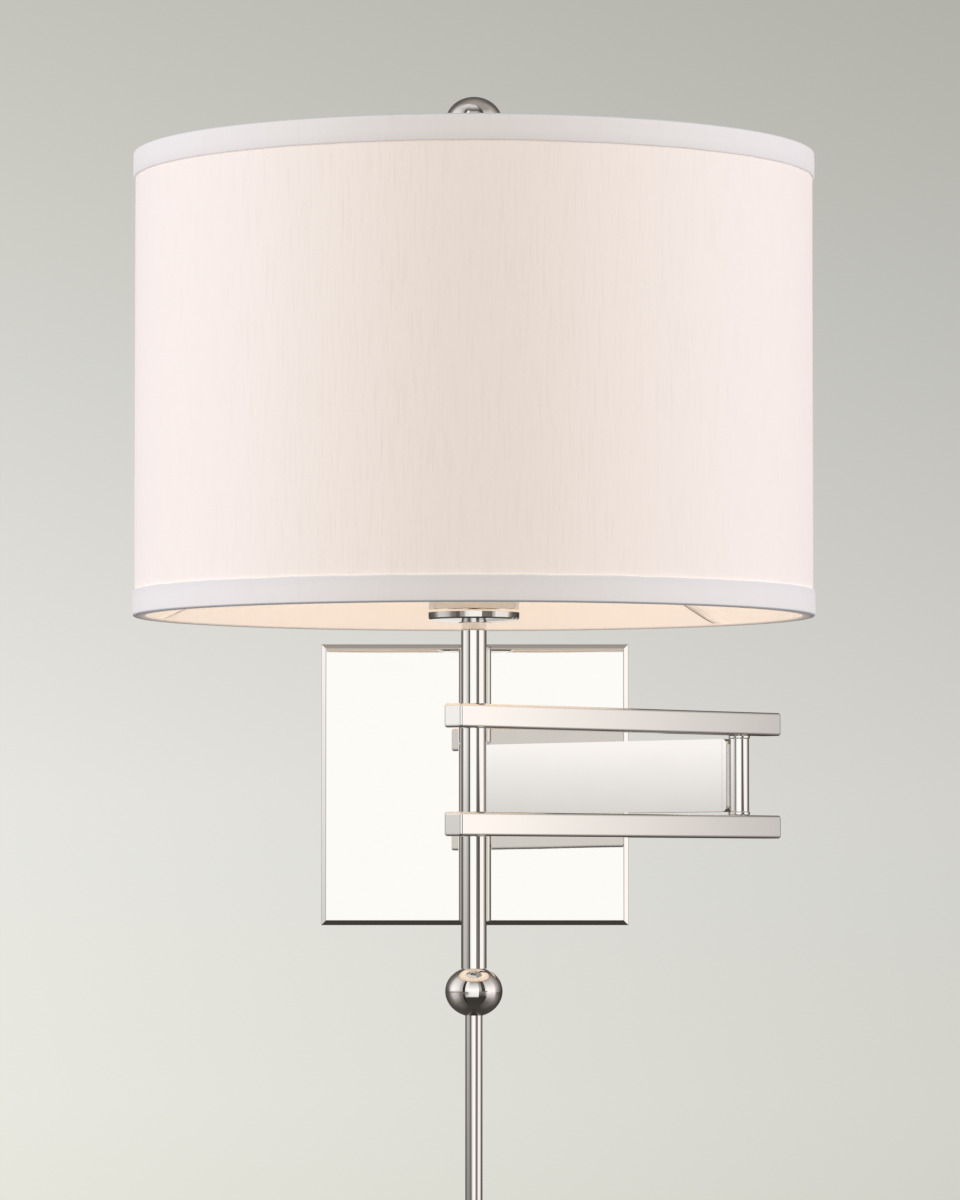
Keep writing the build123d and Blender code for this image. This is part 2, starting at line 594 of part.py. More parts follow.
def screw_shell():
    """The brass shell that the bulb screws into."""
    inner = SCREW_SHELL_RADIUS - SCREW_SHELL_WALL
    low = SWITCH_BLOCK_TOP + SEAT_GAP
    return on_post(tube(SCREW_SHELL_RADIUS, inner, low, low + SCREW_SHELL_HEIGHT))


def switch_knob():
    """The turning switch: a shaft and a knob with a flat finger grip."""
    shaft = rod(KNOB_SHAFT_RADIUS, BLOCK_RADIUS - KNOB_SHAFT_DEPTH, KNOB_REACH + 1)
    collar_end = KNOB_REACH + KNOB_LENGTH / 3
    collar = rod(KNOB_RADIUS, KNOB_REACH, collar_end)
    grip = block(
        -KNOB_RADIUS, KNOB_RADIUS, -KNOB_FLAT, KNOB_FLAT, collar_end, KNOB_REACH + KNOB_LENGTH
    ) & rod(KNOB_RADIUS, collar_end, KNOB_REACH + KNOB_LENGTH)
    return on_post(Pos(0, 0, KNOB_Z) * Rot(90, 0, 0) * (shaft + collar + grip))


def bulb_form(inset):
    """The bulb's outer form, or the space inside it."""
    radius = BULB_RADIUS - inset
    meet = BULB_SEAT + BULB_NECK_LENGTH
    reach = BULB_RADIUS * BULB_SHOULDER_SHARE
    centre = meet + (BULB_RADIUS**2 - reach**2) ** 0.5
    low = BULB_SEAT - inset
    cone = Pos(0, 0, (low + meet) / 2) * Cone(BULB_NECK_RADIUS - inset, reach - inset, meet - low)
    return cone + Pos(0, 0, centre) * Sphere(radius)


def bulb_globe():
    return on_post(bulb_form(0) - bulb_form(BULB_WALL))


def bulb_base():
    tip = rod(BULB_CONTACT_RADIUS, BULB_TIP, BULB_TIP + BULB_CONTACT_HEIGHT)
    screw = rod(BULB_BASE_RADIUS, BULB_TIP + BULB_CONTACT_HEIGHT, BULB_SEAT - SEAT_GAP)
    return on_post(tip + screw)


# ---- shade ------------------------------------------------------------------------------
def drum(outer, inner):
    """A plain round wall between the two rims' turned edges."""
    inset = TRIM_FOLD + SEAT_GAP
    return on_post(tube(outer, inner, SHADE_BOTTOM + inset, SHADE_TOP - inset))


def ring_height(rim, inward):
    """Where a wire ring lies, just inside a turned rim."""
    return rim + inward * (TRIM_FOLD + SEAT_GAP + RING_WIRE_RADIUS)


def wire_ring(height):
    section = Pos(RING_RADIUS, 0, height) * Rot(90, 0, 0) * Circle(RING_WIRE_RADIUS)
    return on_post(revolve(section, Axis.Z, 360))


def spoke(radius, reach):
    """One slanting spoke from the spider's hub to the top ring, pointing along +X."""
    hub_z = (HUB_BOTTOM + HUB_TOP) / 2
    rise = ring_height(SHADE_TOP, -1) - hub_z
    start = Vector(SPIDER_HUB_RADIUS - 2 * SPIDER_SPOKE_RADIUS, 0, hub_z)
    run = reach - start.X
    along = Vector(run, 0, rise * run / (RING_RADIUS - start.X))
    plane = Plane(origin=start, z_dir=along)
    return extrude(plane * Circle(radius), along.length)


def spokes(radius, reach):
    turn = 360 / SPIDER_SPOKES
    return [Rot(0, 0, turn * index) * spoke(radius, reach) for index in range(SPIDER_SPOKES)]


def shade_spider():
    """The hub that the finial clamps, with its spokes."""
    hub = rod(SPIDER_HUB_RADIUS, HUB_BOTTOM, HUB_TOP)
    for arm in spokes(SPIDER_SPOKE_RADIUS, RING_RADIUS - RING_WIRE_RADIUS - 2 * RUNNING_FIT):
        hub += arm
    return on_post(hub - rod(STUD_RADIUS + RUNNING_FIT, HUB_BOTTOM - 5, HUB_TOP + 5))


def trim(rim, inward):
    """A fabric band folded over one rim; inward is +1 at the bottom and -1 at the top."""
    fold = rim + inward * TRIM_FOLD
    band = rim + inward * TRIM_HEIGHT
    hem = rim + inward * (TRIM_FOLD + TRIM_TURN_IN)
    face = TRIM_OUTER - TRIM_THICKNESS
    lining = TRIM_INNER + TRIM_FOLD
    return turned([
        (TRIM_OUTER, band), (TRIM_OUTER, rim), (TRIM_INNER, rim), (TRIM_INNER, hem),
        (lining, hem), (lining, fold), (face, fold), (face, band),
    ])


def shade_top_trim():
    band = trim(SHADE_TOP, -1)
    for arm in spokes(SPIDER_SPOKE_RADIUS + SPOKE_CUTOUT, RING_RADIUS):
        band -= arm
    return on_post(band)


def shade_bottom_trim():
    return on_post(trim(SHADE_BOTTOM, 1))


def finial():
    """The ball nut on the harp's stud, which holds the shade down."""
    low = HUB_TOP + SEAT_GAP
    piece = rod(FINIAL_BASE_RADIUS, low, low + FINIAL_BASE_HEIGHT)
    piece += rod(FINIAL_NECK_RADIUS, low, FINIAL_Z - BALL_HALF_HEIGHT / 2)
    piece -= rod(STUD_RADIUS + RUNNING_FIT, low - 1, STUD_TOP + SEAT_GAP)
    return on_post(piece + flat_ball(FINIAL_Z))


# ---- all nodes --------------------------------------------------------------------------
NODES = {
    "backplate": backplate(),
    "mounting_strap": mounting_strap(),
    "plate_screws": plate_screws(),
    "hinge_knuckle_upper": fixed_knuckle(BAR_GAP_TOP, HINGE_REACH - HINGE_CAP_THICKNESS - SEAT_GAP),
    "hinge_knuckle_lower": fixed_knuckle(-HINGE_REACH + HINGE_CAP_THICKNESS + SEAT_GAP, BAR_GAP_BOTTOM),
    "hinge_caps": hinge_caps(),
    "hinge_pin": hinge_pin(),
    "hinge_washers": hinge_washers(),
    "inner_arm": inner_arm(),
    "arm_plugs": arm_plugs(),
    "arm_knuckle": arm_knuckle(),
    "elbow_barrel": elbow_barrel(),
    "upper_bar": square_bar(BAR_GAP_TOP),
    "lower_bar": square_bar(LOWER_BAR_BOTTOM),
    "elbow_pin": elbow_pin(),
    "elbow_washers": elbow_washers(),
    "post_tube_upper": post_tube(UPPER_BAR_TOP, CUP_BOTTOM),
    "post_tube_middle": post_tube(BAR_GAP_BOTTOM, BAR_GAP_TOP),
    "post_tube_lower": post_tube(BALL_TOP - POST_BALL_OVERLAP, LOWER_BAR_BOTTOM),
    "threaded_pipe": threaded_pipe(),
    "post_ball": post_ball(),
    "drop_tube": drop_tube(),
    "cord_bushing": cord_bushing(),
    "socket_cup": socket_cup(),
    "harp_saddle": harp_saddle(),
    "pipe_nut": pipe_nut(),
    "harp": harp(),
    "socket_cap": socket_cap(),
    "socket_shell": socket_shell(),
    "socket_insulator": socket_insulator(),
    "switch_block": switch_block(),
    "screw_shell": screw_shell(),
    "switch_knob": switch_knob(),
    "bulb_globe": bulb_globe(),
    "bulb_base": bulb_base(),
    "shade_liner": drum(LINER_OUTER, LINER_INNER),
    "shade_fabric": drum(SHADE_RADIUS, SHADE_RADIUS - FABRIC_THICKNESS),
    "shade_top_trim": shade_top_trim(),
    "shade_bottom_trim": shade_bottom_trim(),
    "shade_top_ring": wire_ring(ring_height(SHADE_TOP, -1)),
    "shade_bottom_ring": wire_ring(ring_height(SHADE_BOTTOM, 1)),
    "shade_spider": shade_spider(),
    "finial": finial(),
}

os.makedirs("parts", exist_ok=True)
for node_name, node_shape in NODES.items():
    export_step(node_shape, f"parts/{node_name}.step")
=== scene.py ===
"""Looks for the swing arm wall sconce: materials, shade cloth, studio and camera.

Metres, in the row frame: the wall plate's rear face at the origin, +Z up, +Y into the wall.
"""

import json
import math

import bpy
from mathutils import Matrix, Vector, noise


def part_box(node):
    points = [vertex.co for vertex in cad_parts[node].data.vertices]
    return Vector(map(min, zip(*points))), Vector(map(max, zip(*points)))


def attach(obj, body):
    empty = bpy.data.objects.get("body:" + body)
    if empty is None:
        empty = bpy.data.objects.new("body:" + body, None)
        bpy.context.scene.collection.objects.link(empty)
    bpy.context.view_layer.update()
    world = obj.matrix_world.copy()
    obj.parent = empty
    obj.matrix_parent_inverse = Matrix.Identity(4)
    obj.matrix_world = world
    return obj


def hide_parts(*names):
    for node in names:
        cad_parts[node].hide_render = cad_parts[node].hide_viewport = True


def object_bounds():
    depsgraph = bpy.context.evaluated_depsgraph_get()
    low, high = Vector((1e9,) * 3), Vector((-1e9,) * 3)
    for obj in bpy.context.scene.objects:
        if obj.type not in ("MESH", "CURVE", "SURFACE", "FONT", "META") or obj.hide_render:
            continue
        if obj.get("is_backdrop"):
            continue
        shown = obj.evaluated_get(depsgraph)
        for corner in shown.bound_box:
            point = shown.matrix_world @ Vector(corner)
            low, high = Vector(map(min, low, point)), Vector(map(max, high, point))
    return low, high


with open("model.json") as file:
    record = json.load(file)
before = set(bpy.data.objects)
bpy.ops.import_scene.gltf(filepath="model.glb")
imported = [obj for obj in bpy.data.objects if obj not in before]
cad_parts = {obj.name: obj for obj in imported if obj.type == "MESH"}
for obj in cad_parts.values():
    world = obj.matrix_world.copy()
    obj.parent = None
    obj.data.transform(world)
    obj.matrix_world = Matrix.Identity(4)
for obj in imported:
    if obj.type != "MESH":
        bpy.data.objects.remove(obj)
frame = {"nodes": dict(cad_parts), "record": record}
cad_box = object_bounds()

# ---- camera ----------------------------------------------------------------------------------
CAMERA_PLACE = (0.00557, -3.530, -0.0554)
CAMERA_PITCH = math.radians(2.647)
CAMERA_YAW = 0.000745       # radians
CAMERA_LENS = 181.96
CAMERA_SENSOR = 36.0
CAMERA_REACH = 100.0

# ---- shade: cloth and lining -----------------------------------------------------------------
FABRIC_LOW, FABRIC_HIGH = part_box("shade_fabric")
LINER_LOW, LINER_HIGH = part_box("shade_liner")
AXIS_X = (FABRIC_LOW.x + FABRIC_HIGH.x) / 2
AXIS_Y = (FABRIC_LOW.y + FABRIC_HIGH.y) / 2
AROUND = 384                # steps round the shade
SHARP_ANGLE = math.radians(50)
FABRIC_RADIUS = (FABRIC_HIGH.x - FABRIC_LOW.x) / 2
FABRIC_THICKNESS = 0.00075
FABRIC_ROWS = 24
LINER_RADIUS = (LINER_HIGH.x - LINER_LOW.x) / 2
LINER_THICKNESS = 0.001
SEAM_WIDTH = 0.012
SEAM_THICKNESS = 0.0007
SEAM_SINK = 0.0002          # how far the seam's back lies in the cloth
SEAM_ROUNDING = 6           # the higher, the flatter its face and the sharper its edges
SEAM_WANDER = (0.0003, 60, 3.1)     # its unevenness: size in radians, waves up a metre, seed
SEAM_COLUMNS, SEAM_ROWS = 8, 60

# ---- shade: the tape round its rims ----------------------------------------------------------
TRIM_LOW, TRIM_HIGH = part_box("shade_bottom_trim")
BOTTOM_RIM = TRIM_LOW.z
TOP_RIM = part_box("shade_top_trim")[1].z
TRIM_RADIUS = (TRIM_HIGH.x - TRIM_LOW.x) / 2
TRIM_HEIGHT = 0.0136        # of the band outside
TRIM_TURN_IN = TRIM_HIGH.z - TRIM_LOW.z
TRIM_THICKNESS = 0.00115
TRIM_INNER_RADIUS = 0.172
TRIM_FOLD = 0.0008          # thickness of the turned-in tape
TRIM_ROLL = 0.0012          # radius of the turns at the rim
TRIM_SKIN = 0.0007          # how deep under the band's face its unevenness reaches
TURN_STEPS = 6              # points on each turn, less one
BAND_ROWS = (0.6, 0.3)      # rows across the band, as shares of its height
BAND_LIP = 0.0004           # width of the flat on the band's cut edge
BAND_CORNER_IN, BAND_CORNER_DOWN = 0.0003, 0.0002   # the point on the worn corner beside it
BAND_EDGE_DROP = 0.0008     # how far down that corner reaches
# shares of the tape's painted glow: emission standing for the lamp's light through the band and the bulb's
# light on the rim
BAND_EDGE_LIGHT = 0.7       # share of the light through the cloth there
LIT_FROM = TRIM_ROLL * 0.6  # light shines through the tape from this far above the rim
UNDERSIDE_TO = TRIM_ROLL * 0.3  # what lies nearer to the rim than this is its underside
UNDERSIDE_LIGHT = 0.75      # share of the bulb's light on the underside

# ---- shade: the tape's folded ends -----------------------------------------------------------
LAP_COLUMNS, LAP_ROWS = 24, 16
LAP_THICKNESS = 0.0007
LAP_BURIED = 0.0001         # how far its ends lie behind the tape's face
LAP_EASE = 1.5              # how it thins out: 1 evenly, more for a sharper fold
LAP_SLANT = 0.85            # bends the fold's line: 1 leaves it straight
LAP_PUCKER = (0.25, 9, 2)   # its unevenness: share of its thickness, waves along it, waves up it
# the fold's shares of the bulb's painted glow; what is short of a whole share darkens its colour as painted
# shade
LAP_FOLD_LIGHT = 0.6        # share of the bulb's light on the fold
LAP_BRIGHTENS = 3.5         # the light is whole after one part in this many of the run
LAP_BLOTCHES = (0.35, 14, 3)    # unevenness of that light: share, waves along it, waves up it
LAP_BLOTCH_SEED = 2         # added to the lap's seed
LAP_SEED_STEP = 5.0         # between one lap's seed and the next one's
LAPS = [
    # angle and height above the rim at its foot, the same at its top, and how many degrees it runs on
    (49.5, 0.0014, 39.6, 0.0165, 9.0),
    (-73.7, 0.0014, -61.5, 0.0100, -5.0),
]
LAP_SHADOW = [
    # the crease before the fold: degrees before it, how far it stands in, its share of the painted glow; the
    # rest is painted shade
    (0.70, 0.00004, 1.0), (0.45, 0.00018, 0.35), (0.10, 0.00025, 0.1),
]

# ---- shade: unevenness -----------------------------------------------------------------------
# size in metres, waves across the shade, waves up a metre, and seed
CLOTH_TENSION = (0.00014, 9, 6, 1.7)
CLOTH_SLUBS = (0.00010, 70, 5, 5.3)
LINER_RIPPLE = (0.00005, 5, 4, 9.1)
BAND_RIPPLE = (0.00018, 8, 30)          # the two trims bring their own seeds
BAND_EDGE_RIPPLE = (0.00022, 11, 0)
BOTTOM_TRIM_SEED, TOP_TRIM_SEED = 2.0, 6.0
BAND_EDGE_SEED = 4                      # added to the trim's seed

# ---- surfaces --------------------------------------------------------------------------------
BUFFING_DEPTH = 0.000012
PLATE_DISH = 0.083
SLUB_SHARE, THREAD_SHARE = 0.6, 0.4     # of the cloth's mottle

# ---- backdrop, floor and lamps ---------------------------------------------------------------
BACKDROP_SPAN = (-0.0525, 0.1445)       # how far up a ray looks at the picture's foot and top
BACKDROP_BANDS = [
    # share of that span, and the display colour there
    (0.0, (220, 220, 211)), (0.083, (222, 222, 214)), (0.334, (221, 220, 215)),
    (0.584, (209, 208, 203)), (1.0, (187, 187, 179)),
]
SIDE_SPAN, SIDE_LEVELS = (-0.1, 0.1), (1.13, 0.87)      # bright on the left, dim on the right
RISE_SPAN, RISE_LEVELS = (-0.5, 0.6), (0.20, 0.46)      # plain light from below and from above
ROOM_SPAN, ROOM_LEVELS = (-0.6, 0.8), (1.15, 0.5)       # and from the room and from the wall
DAYLIGHT = (0.97, 0.985, 1.0)
FLOOR_RADIUS, FLOOR_HEIGHT, FLOOR_SEGMENTS = 3.2, -0.9, 96
FLOOR_FADE = (1.9, 3.1)
LAMP_AIM = Vector((AXIS_X, AXIS_Y, 0.1))
LAMPS = [
    # name, azimuth, elevation, distance, size, watts and colour
    ("soft_left", -82, 8, 2.6, (1.4, 2.0), 33.2, (0.804, 0.840, 1.0)),
    ("soft_right", 82, 8, 2.6, (1.4, 2.0), 30.4, (0.808, 0.839, 1.0)),
    ("soft_front", 0, 30, 3.0, (1.6, 1.6), 7, DAYLIGHT),
]

# ---- the dome that the metal mirrors ---------------------------------------------------------
DOME_RADIUS = 30.0
DOME_STEP = 3.0
DOME_LEVELS = (-90, -75, -45, -30, -25, -6, -4, -0.8, 0.5, 1.3, 12, 46, 52, 76, 90)
DOME_STOPS = [
    # azimuth from the camera's side towards +X, then the brightness at each of DOME_LEVELS
    (-180, 0.06, 0.06, 0.06, 0.06, 0.06, 0.05, 0.05, 0.05, 0.05, 0.06, 0.10, 0.14, 0.20, 0.40, 0.40),
    (-140, 0.06, 0.06, 0.08, 0.10, 0.10, 0.10, 0.10, 0.10, 0.12, 0.12, 0.16, 0.14, 0.20, 0.40, 0.40),
    (-122, 0.06, 0.06, 0.12, 0.18, 0.18, 0.14, 0.14, 0.14, 0.16, 0.18, 0.30, 0.36, 0.38, 0.40, 0.40),
    (-110, 0.06, 0.06, 0.18, 0.26, 0.26, 0.36, 0.24, 0.46, 0.62, 0.78, 0.86, 0.70, 0.60, 0.40, 0.40),
    (-96, 0.06, 0.06, 0.20, 0.46, 0.58, 0.76, 0.29, 0.66, 0.80, 1.19, 1.20, 0.80, 0.70, 0.85, 0.40),
    (-80, 0.06, 0.06, 0.20, 0.46, 0.58, 0.76, 0.29, 0.66, 0.80, 1.06, 1.14, 0.80, 0.70, 0.85, 0.40),
    (-66, 0.06, 0.06, 0.16, 0.34, 0.42, 0.60, 0.27, 0.52, 0.70, 0.90, 1.04, 0.74, 0.60, 0.85, 0.40),
    (-56, 0.06, 0.06, 0.12, 0.18, 0.22, 0.26, 0.26, 0.40, 0.50, 0.60, 0.70, 0.54, 0.46, 0.85, 0.40),
    (-46.5, 0.06, 0.06, 0.10, 0.14, 0.18, 0.23, 0.24, 0.34, 0.40, 0.46, 0.50, 0.40, 0.36, 0.85, 0.40),
    (-46, 0.06, 0.06, 0.03, 0.03, 0.03, 0.17, 0.18, 0.03, 0.03, 0.03, 0.03, 0.05, 0.10, 0.85, 0.40),
    (-35.5, 0.06, 0.06, 0.03, 0.03, 0.03, 0.17, 0.18, 0.03, 0.03, 0.03, 0.03, 0.05, 0.10, 0.85, 0.40),
    (-35, 0.06, 0.06, 0.05, 0.06, 0.60, 0.26, 0.22, 0.70, 0.90, 1.00, 1.05, 0.90, 0.10, 0.85, 0.40),
    (-24, 0.06, 0.06, 0.05, 0.06, 0.75, 0.34, 0.30, 1.10, 1.16, 1.18, 1.20, 1.00, 0.10, 0.85, 0.40),
    (-20, 0.06, 0.06, 0.05, 0.06, 0.95, 0.90, 0.90, 1.20, 1.22, 1.22, 1.22, 0.45, 0.10, 0.85, 0.40),
    (-8, 0.06, 0.06, 0.05, 0.06, 1.00, 1.14, 1.16, 1.22, 1.22, 1.22, 1.22, 0.45, 0.10, 0.85, 0.40),
    (20, 0.06, 0.06, 0.05, 0.06, 1.00, 1.14, 1.16, 1.22, 1.22, 1.22, 1.22, 0.45, 0.10, 0.85, 0.40),
    (20.5, 0.06, 0.06, 0.05, 0.05, 0.05, 0.26, 0.28, 0.34, 0.40, 0.50, 0.60, 0.20, 0.10, 0.85, 0.40),
    (31, 0.06, 0.06, 0.05, 0.05, 0.05, 0.26, 0.28, 0.26, 0.30, 0.46, 0.50, 0.20, 0.10, 0.85, 0.40),
    (31.5, 0.06, 0.06, 0.05, 0.05, 0.05, 0.24, 0.26, 0.22, 0.12, 0.08, 0.08, 0.08, 0.10, 0.40, 0.40),
    (46, 0.06, 0.06, 0.05, 0.05, 0.05, 0.22, 0.24, 0.22, 0.10, 0.08, 0.08, 0.08, 0.10, 0.40, 0.40),
    (46.5, 0.06, 0.06, 0.05, 0.05, 0.05, 0.46, 0.50, 0.02, 0.02, 0.90, 0.90, 0.50, 0.30, 0.40, 0.40),
    (55, 0.06, 0.06, 0.05, 0.05, 0.05, 0.91, 1.00, 0.02, 0.04, 1.15, 1.15, 0.60, 0.40, 0.40, 0.40),
    (56, 0.06, 0.06, 0.16, 0.40, 0.60, 1.14, 1.20, 1.18, 1.20, 1.22, 1.20, 0.50, 0.40, 0.40, 0.40),
    (94.5, 0.06, 0.06, 0.20, 0.40, 0.55, 1.00, 1.05, 1.22, 1.24, 1.24, 1.15, 0.50, 0.40, 0.40, 0.40),
    (98, 0.06, 0.06, 0.20, 0.36, 0.45, 0.50, 0.50, 0.65, 0.65, 0.65, 0.74, 0.50, 0.40, 0.40, 0.40),
    (110, 0.06, 0.06, 0.16, 0.26, 0.30, 0.17, 0.16, 0.46, 0.44, 0.42, 0.50, 0.45, 0.42, 0.40, 0.40),
    (126, 0.06, 0.06, 0.10, 0.16, 0.16, 0.11, 0.10, 0.20, 0.20, 0.20, 0.26, 0.34, 0.36, 0.40, 0.40),
    (140, 0.06, 0.06, 0.07, 0.08, 0.08, 0.06, 0.06, 0.06, 0.07, 0.08, 0.12, 0.14, 0.20, 0.40, 0.40),
    (180, 0.06, 0.06, 0.06, 0.06, 0.06, 0.05, 0.05, 0.05, 0.05, 0.06, 0.10, 0.14, 0.20, 0.40, 0.40),
]
LEFT_TINT = (1.0, 0.975, 0.97)
FRONT_TINT = (1.0, 1.0, 0.99)
RIGHT_TINT = (1.0, 0.95, 0.925)
DARK_TINT = (1.0, 0.90, 0.83)
DARK_BELOW = 0.48           # cards dimmer than this take the dark tint
FRONT_WIDTH = 50            # degrees to each side that take the front tint


# ---- node helpers ----------------------------------------------------------------------------
def node(tree, kind, inputs=None, **settings):
    """A new node. An input is given a value, or a socket to be linked from."""
    made = tree.nodes.new(kind)
    for name, value in settings.items():
        setattr(made, name, value)
    for name, value in (inputs or {}).items():
        if isinstance(value, bpy.types.NodeSocket):
            tree.links.new(value, made.inputs[name])
        else:
            made.inputs[name].default_value = value
    return made


def maths(tree, operation, first, second):
    """Two values, or a value and a number, put together."""
    return node(tree, "ShaderNodeMath", {0: first, 1: second}, operation=operation).outputs[0]


def mapped(tree, value, onto, span=(0, 1)):
    """Maps a value that runs over span onto another range, clamped."""
    made = node(tree, "ShaderNodeMapRange", {0: value, 1: span[0], 2: span[1], 3: onto[0], 4: onto[1]})
    return made.outputs[0]


def upward(tree, place):
    """The height of a place, or of a direction."""
    return node(tree, "ShaderNodeSeparateXYZ", {"Vector": place}).outputs["Z"]


def stored(tree, name, output="Fac"):
    """What a mesh stores under a name."""
    return node(tree, "ShaderNodeAttribute", attribute_name=name).outputs[output]


def stretched(tree, vector, scale, offset=(0, 0, 0)):
    """Coordinates scaled along each axis, so that noise on them draws out into lines."""
    made = node(tree, "ShaderNodeMapping", {"Vector": vector, "Scale": scale, "Location": offset})
    return made.outputs["Vector"]


def grain(tree, vector, scale=1.0, detail=2.0, roughness=0.5):
    """Cloudy noise from 0 to 1."""
    inputs = {"Vector": vector, "Scale": scale, "Detail": detail, "Roughness": roughness}
    return node(tree, "ShaderNodeTexNoise", inputs).outputs["Fac"]


def blended(tree, factor, first, second, blend_type="MIX"):
    """A colour between two colours, or their sum with ADD and a factor of 1."""
    made = node(tree, "ShaderNodeMix", data_type="RGBA", blend_type=blend_type)
    for index, value in ((0, factor), (6, first), (7, second)):
        if isinstance(value, bpy.types.NodeSocket):
            tree.links.new(value, made.inputs[index])
        else:
            made.inputs[index].default_value = value if index == 0 else (*value, 1)
    return made.outputs[2]


def ramped(tree, factor, stops):
    """A colour ramp from (position, colour) stops."""
    made = node(tree, "ShaderNodeValToRGB", {"Fac": factor})
    elements = made.color_ramp.elements
    while len(elements) < len(stops):
        elements.new(0.5)
    for element, (position, colour) in zip(elements, stops):
        element.position = position
        element.color = (*colour, 1)
    return made.outputs["Color"]


def bumped(tree, height, strength, distance):
    """A normal tilted by a height that is given in units of distance."""
    inputs = {"Height": height, "Strength": strength, "Distance": distance}
    return node(tree, "ShaderNodeBump", inputs).outputs["Normal"]


def new_material(name, **values):
    """A material with its tree, its shader and its object coordinates."""
    material = bpy.data.materials.new(name)
    material.use_nodes = True
    tree = material.node_tree
    shader = tree.nodes["Principled BSDF"]
    for key, value in values.items():
        shader.inputs[key.replace("_", " ")].default_value = value
    place = node(tree, "ShaderNodeTexCoord").outputs["Object"]
    return material, tree, shader, place


def feed(tree, shader, **sockets):
    """Links sockets to the shader's inputs, named with _ for a space."""
    for key, socket in sockets.items():
        tree.links.new(socket, shader.inputs[key.replace("_", " ")])


def linear(red, green, blue):
    """A colour given in 8-bit display values, made linear."""
    def channel(value):
        share = value / 255
        return share / 12.92 if share <= 0.04045 else ((share + 0.055) / 1.055) ** 2.4
    return (channel(red), channel(green), channel(blue))


# ---- metals ----------------------------------------------------------------------------------
def polished_nickel(name="polished_nickel", dish=0.0):
    """Mirror-bright nickel with a faint polishing haze and the soft waves of hand buffing.

    dish makes an upright face mirror as if it were hollowed, by that many metres at one metre above
    and below the plate's middle.
    """
    material, tree, shader, place = new_material(name, Metallic=1.0)
    haze = grain(tree, place, scale=38, detail=4)
    lines = grain(tree, stretched(tree, place, scale=(900, 900, 120)), detail=3)
    colour = blended(tree, haze, (0.812, 0.797, 0.767), (0.796, 0.781, 0.751))
    rough = maths(tree, "ADD", mapped(tree, haze, onto=(0.006, 0.014)), mapped(tree, lines, onto=(0, 0.006)))
    buffing = maths(tree, "MULTIPLY", grain(tree, place, scale=22, detail=1), BUFFING_DEPTH)
    height = upward(tree, place)
    hollow = maths(tree, "MULTIPLY", maths(tree, "MULTIPLY", height, height), dish)
    normal = bumped(tree, maths(tree, "ADD", buffing, hollow), strength=1.0, distance=1.0)
    feed(tree, shader, Base_Color=colour, Roughness=rough, Normal=normal)
    return material


def plated_steel():
    """Zinc plate with its crystalline bloom."""
    material, tree, shader, place = new_material("plated_steel", Metallic=1.0)
    cells = node(tree, "ShaderNodeTexVoronoi", {"Vector": place, "Scale": 320}).outputs["Color"]
    bloom = node(tree, "ShaderNodeRGBToBW", {"Color": cells}).outputs[0]
    colour = blended(tree, bloom, (0.66, 0.66, 0.64), (0.56, 0.57, 0.57))
    rough = mapped(tree, bloom, onto=(0.26, 0.42))
    normal = bumped(tree, grain(tree, place, scale=900, detail=3), strength=0.12, distance=0.0003)
    feed(tree, shader, Base_Color=colour, Roughness=rough, Normal=normal)
    return material


def drawn_wire():
    """Satin nickel wire and strip with fine drawing lines along it."""
    material, tree, shader, place = new_material("nickel_wire", Metallic=1.0)
    lines = grain(tree, stretched(tree, place, scale=(1800, 1800, 90)))
    colour = blended(tree, lines, (0.77, 0.755, 0.725), (0.68, 0.665, 0.635))
    rough = mapped(tree, lines, onto=(0.2, 0.34))
    normal = bumped(tree, lines, strength=0.15, distance=0.0002)
    feed(tree, shader, Base_Color=colour, Roughness=rough, Normal=normal)
    return material


def satin_brass():
    """Spun brass: rings from the lathe, darker where it has toned."""
    material, tree, shader, place = new_material("socket_brass", Metallic=1.0)
    rings = grain(tree, stretched(tree, place, scale=(40, 40, 2600)))
    tone = grain(tree, place, scale=90, detail=4)
    colour = blended(tree, tone, (0.80, 0.64, 0.34), (0.66, 0.49, 0.24))
    rough = maths(tree, "ADD", mapped(tree, rings, onto=(0.16, 0.3)), mapped(tree, tone, onto=(0, 0.08)))
    normal = bumped(tree, rings, strength=0.2, distance=0.0002)
    feed(tree, shader, Base_Color=colour, Roughness=rough, Normal=normal)
    return material


def white_enamel():
    """White baked enamel on the shade's wires, with a thin pooled look."""
    material, tree, shader, place = new_material("white_wire", Coat_Weight=0.4, Coat_Roughness=0.12)
    pooled = grain(tree, place, scale=240, detail=3)
    colour = blended(tree, pooled, (0.90, 0.89, 0.86), (0.82, 0.80, 0.76))
    feed(tree, shader, Base_Color=colour, Roughness=mapped(tree, pooled, onto=(0.3, 0.46)),
         Normal=bumped(tree, pooled, strength=0.2, distance=0.0003))
    return material


# ---- plastics, board and glass ---------------------------------------------------------------
def moulded_nylon():
    """Off-white nylon with a faint cloudiness."""
    material, tree, shader, place = new_material("nylon")
    cloud = grain(tree, place, scale=140, detail=3)
    colour = blended(tree, cloud, (0.83, 0.82, 0.77), (0.74, 0.73, 0.67))
    feed(tree, shader, Base_Color=colour, Roughness=mapped(tree, cloud, onto=(0.38, 0.55)),
         Normal=bumped(tree, grain(tree, place, scale=1600), strength=0.1, distance=0.0002))
    return material


def black_phenolic():
    """Black moulded resin with its flow marks."""
    material, tree, shader, place = new_material("black_phenolic")
    flow = grain(tree, stretched(tree, place, scale=(160, 160, 420)), detail=5)
    colour = blended(tree, flow, (0.022, 0.020, 0.019), (0.05, 0.045, 0.04))
    feed(tree, shader, Base_Color=colour, Roughness=mapped(tree, flow, onto=(0.22, 0.42)),
         Normal=bumped(tree, grain(tree, place, scale=1200), strength=0.1, distance=0.0002))
    return material


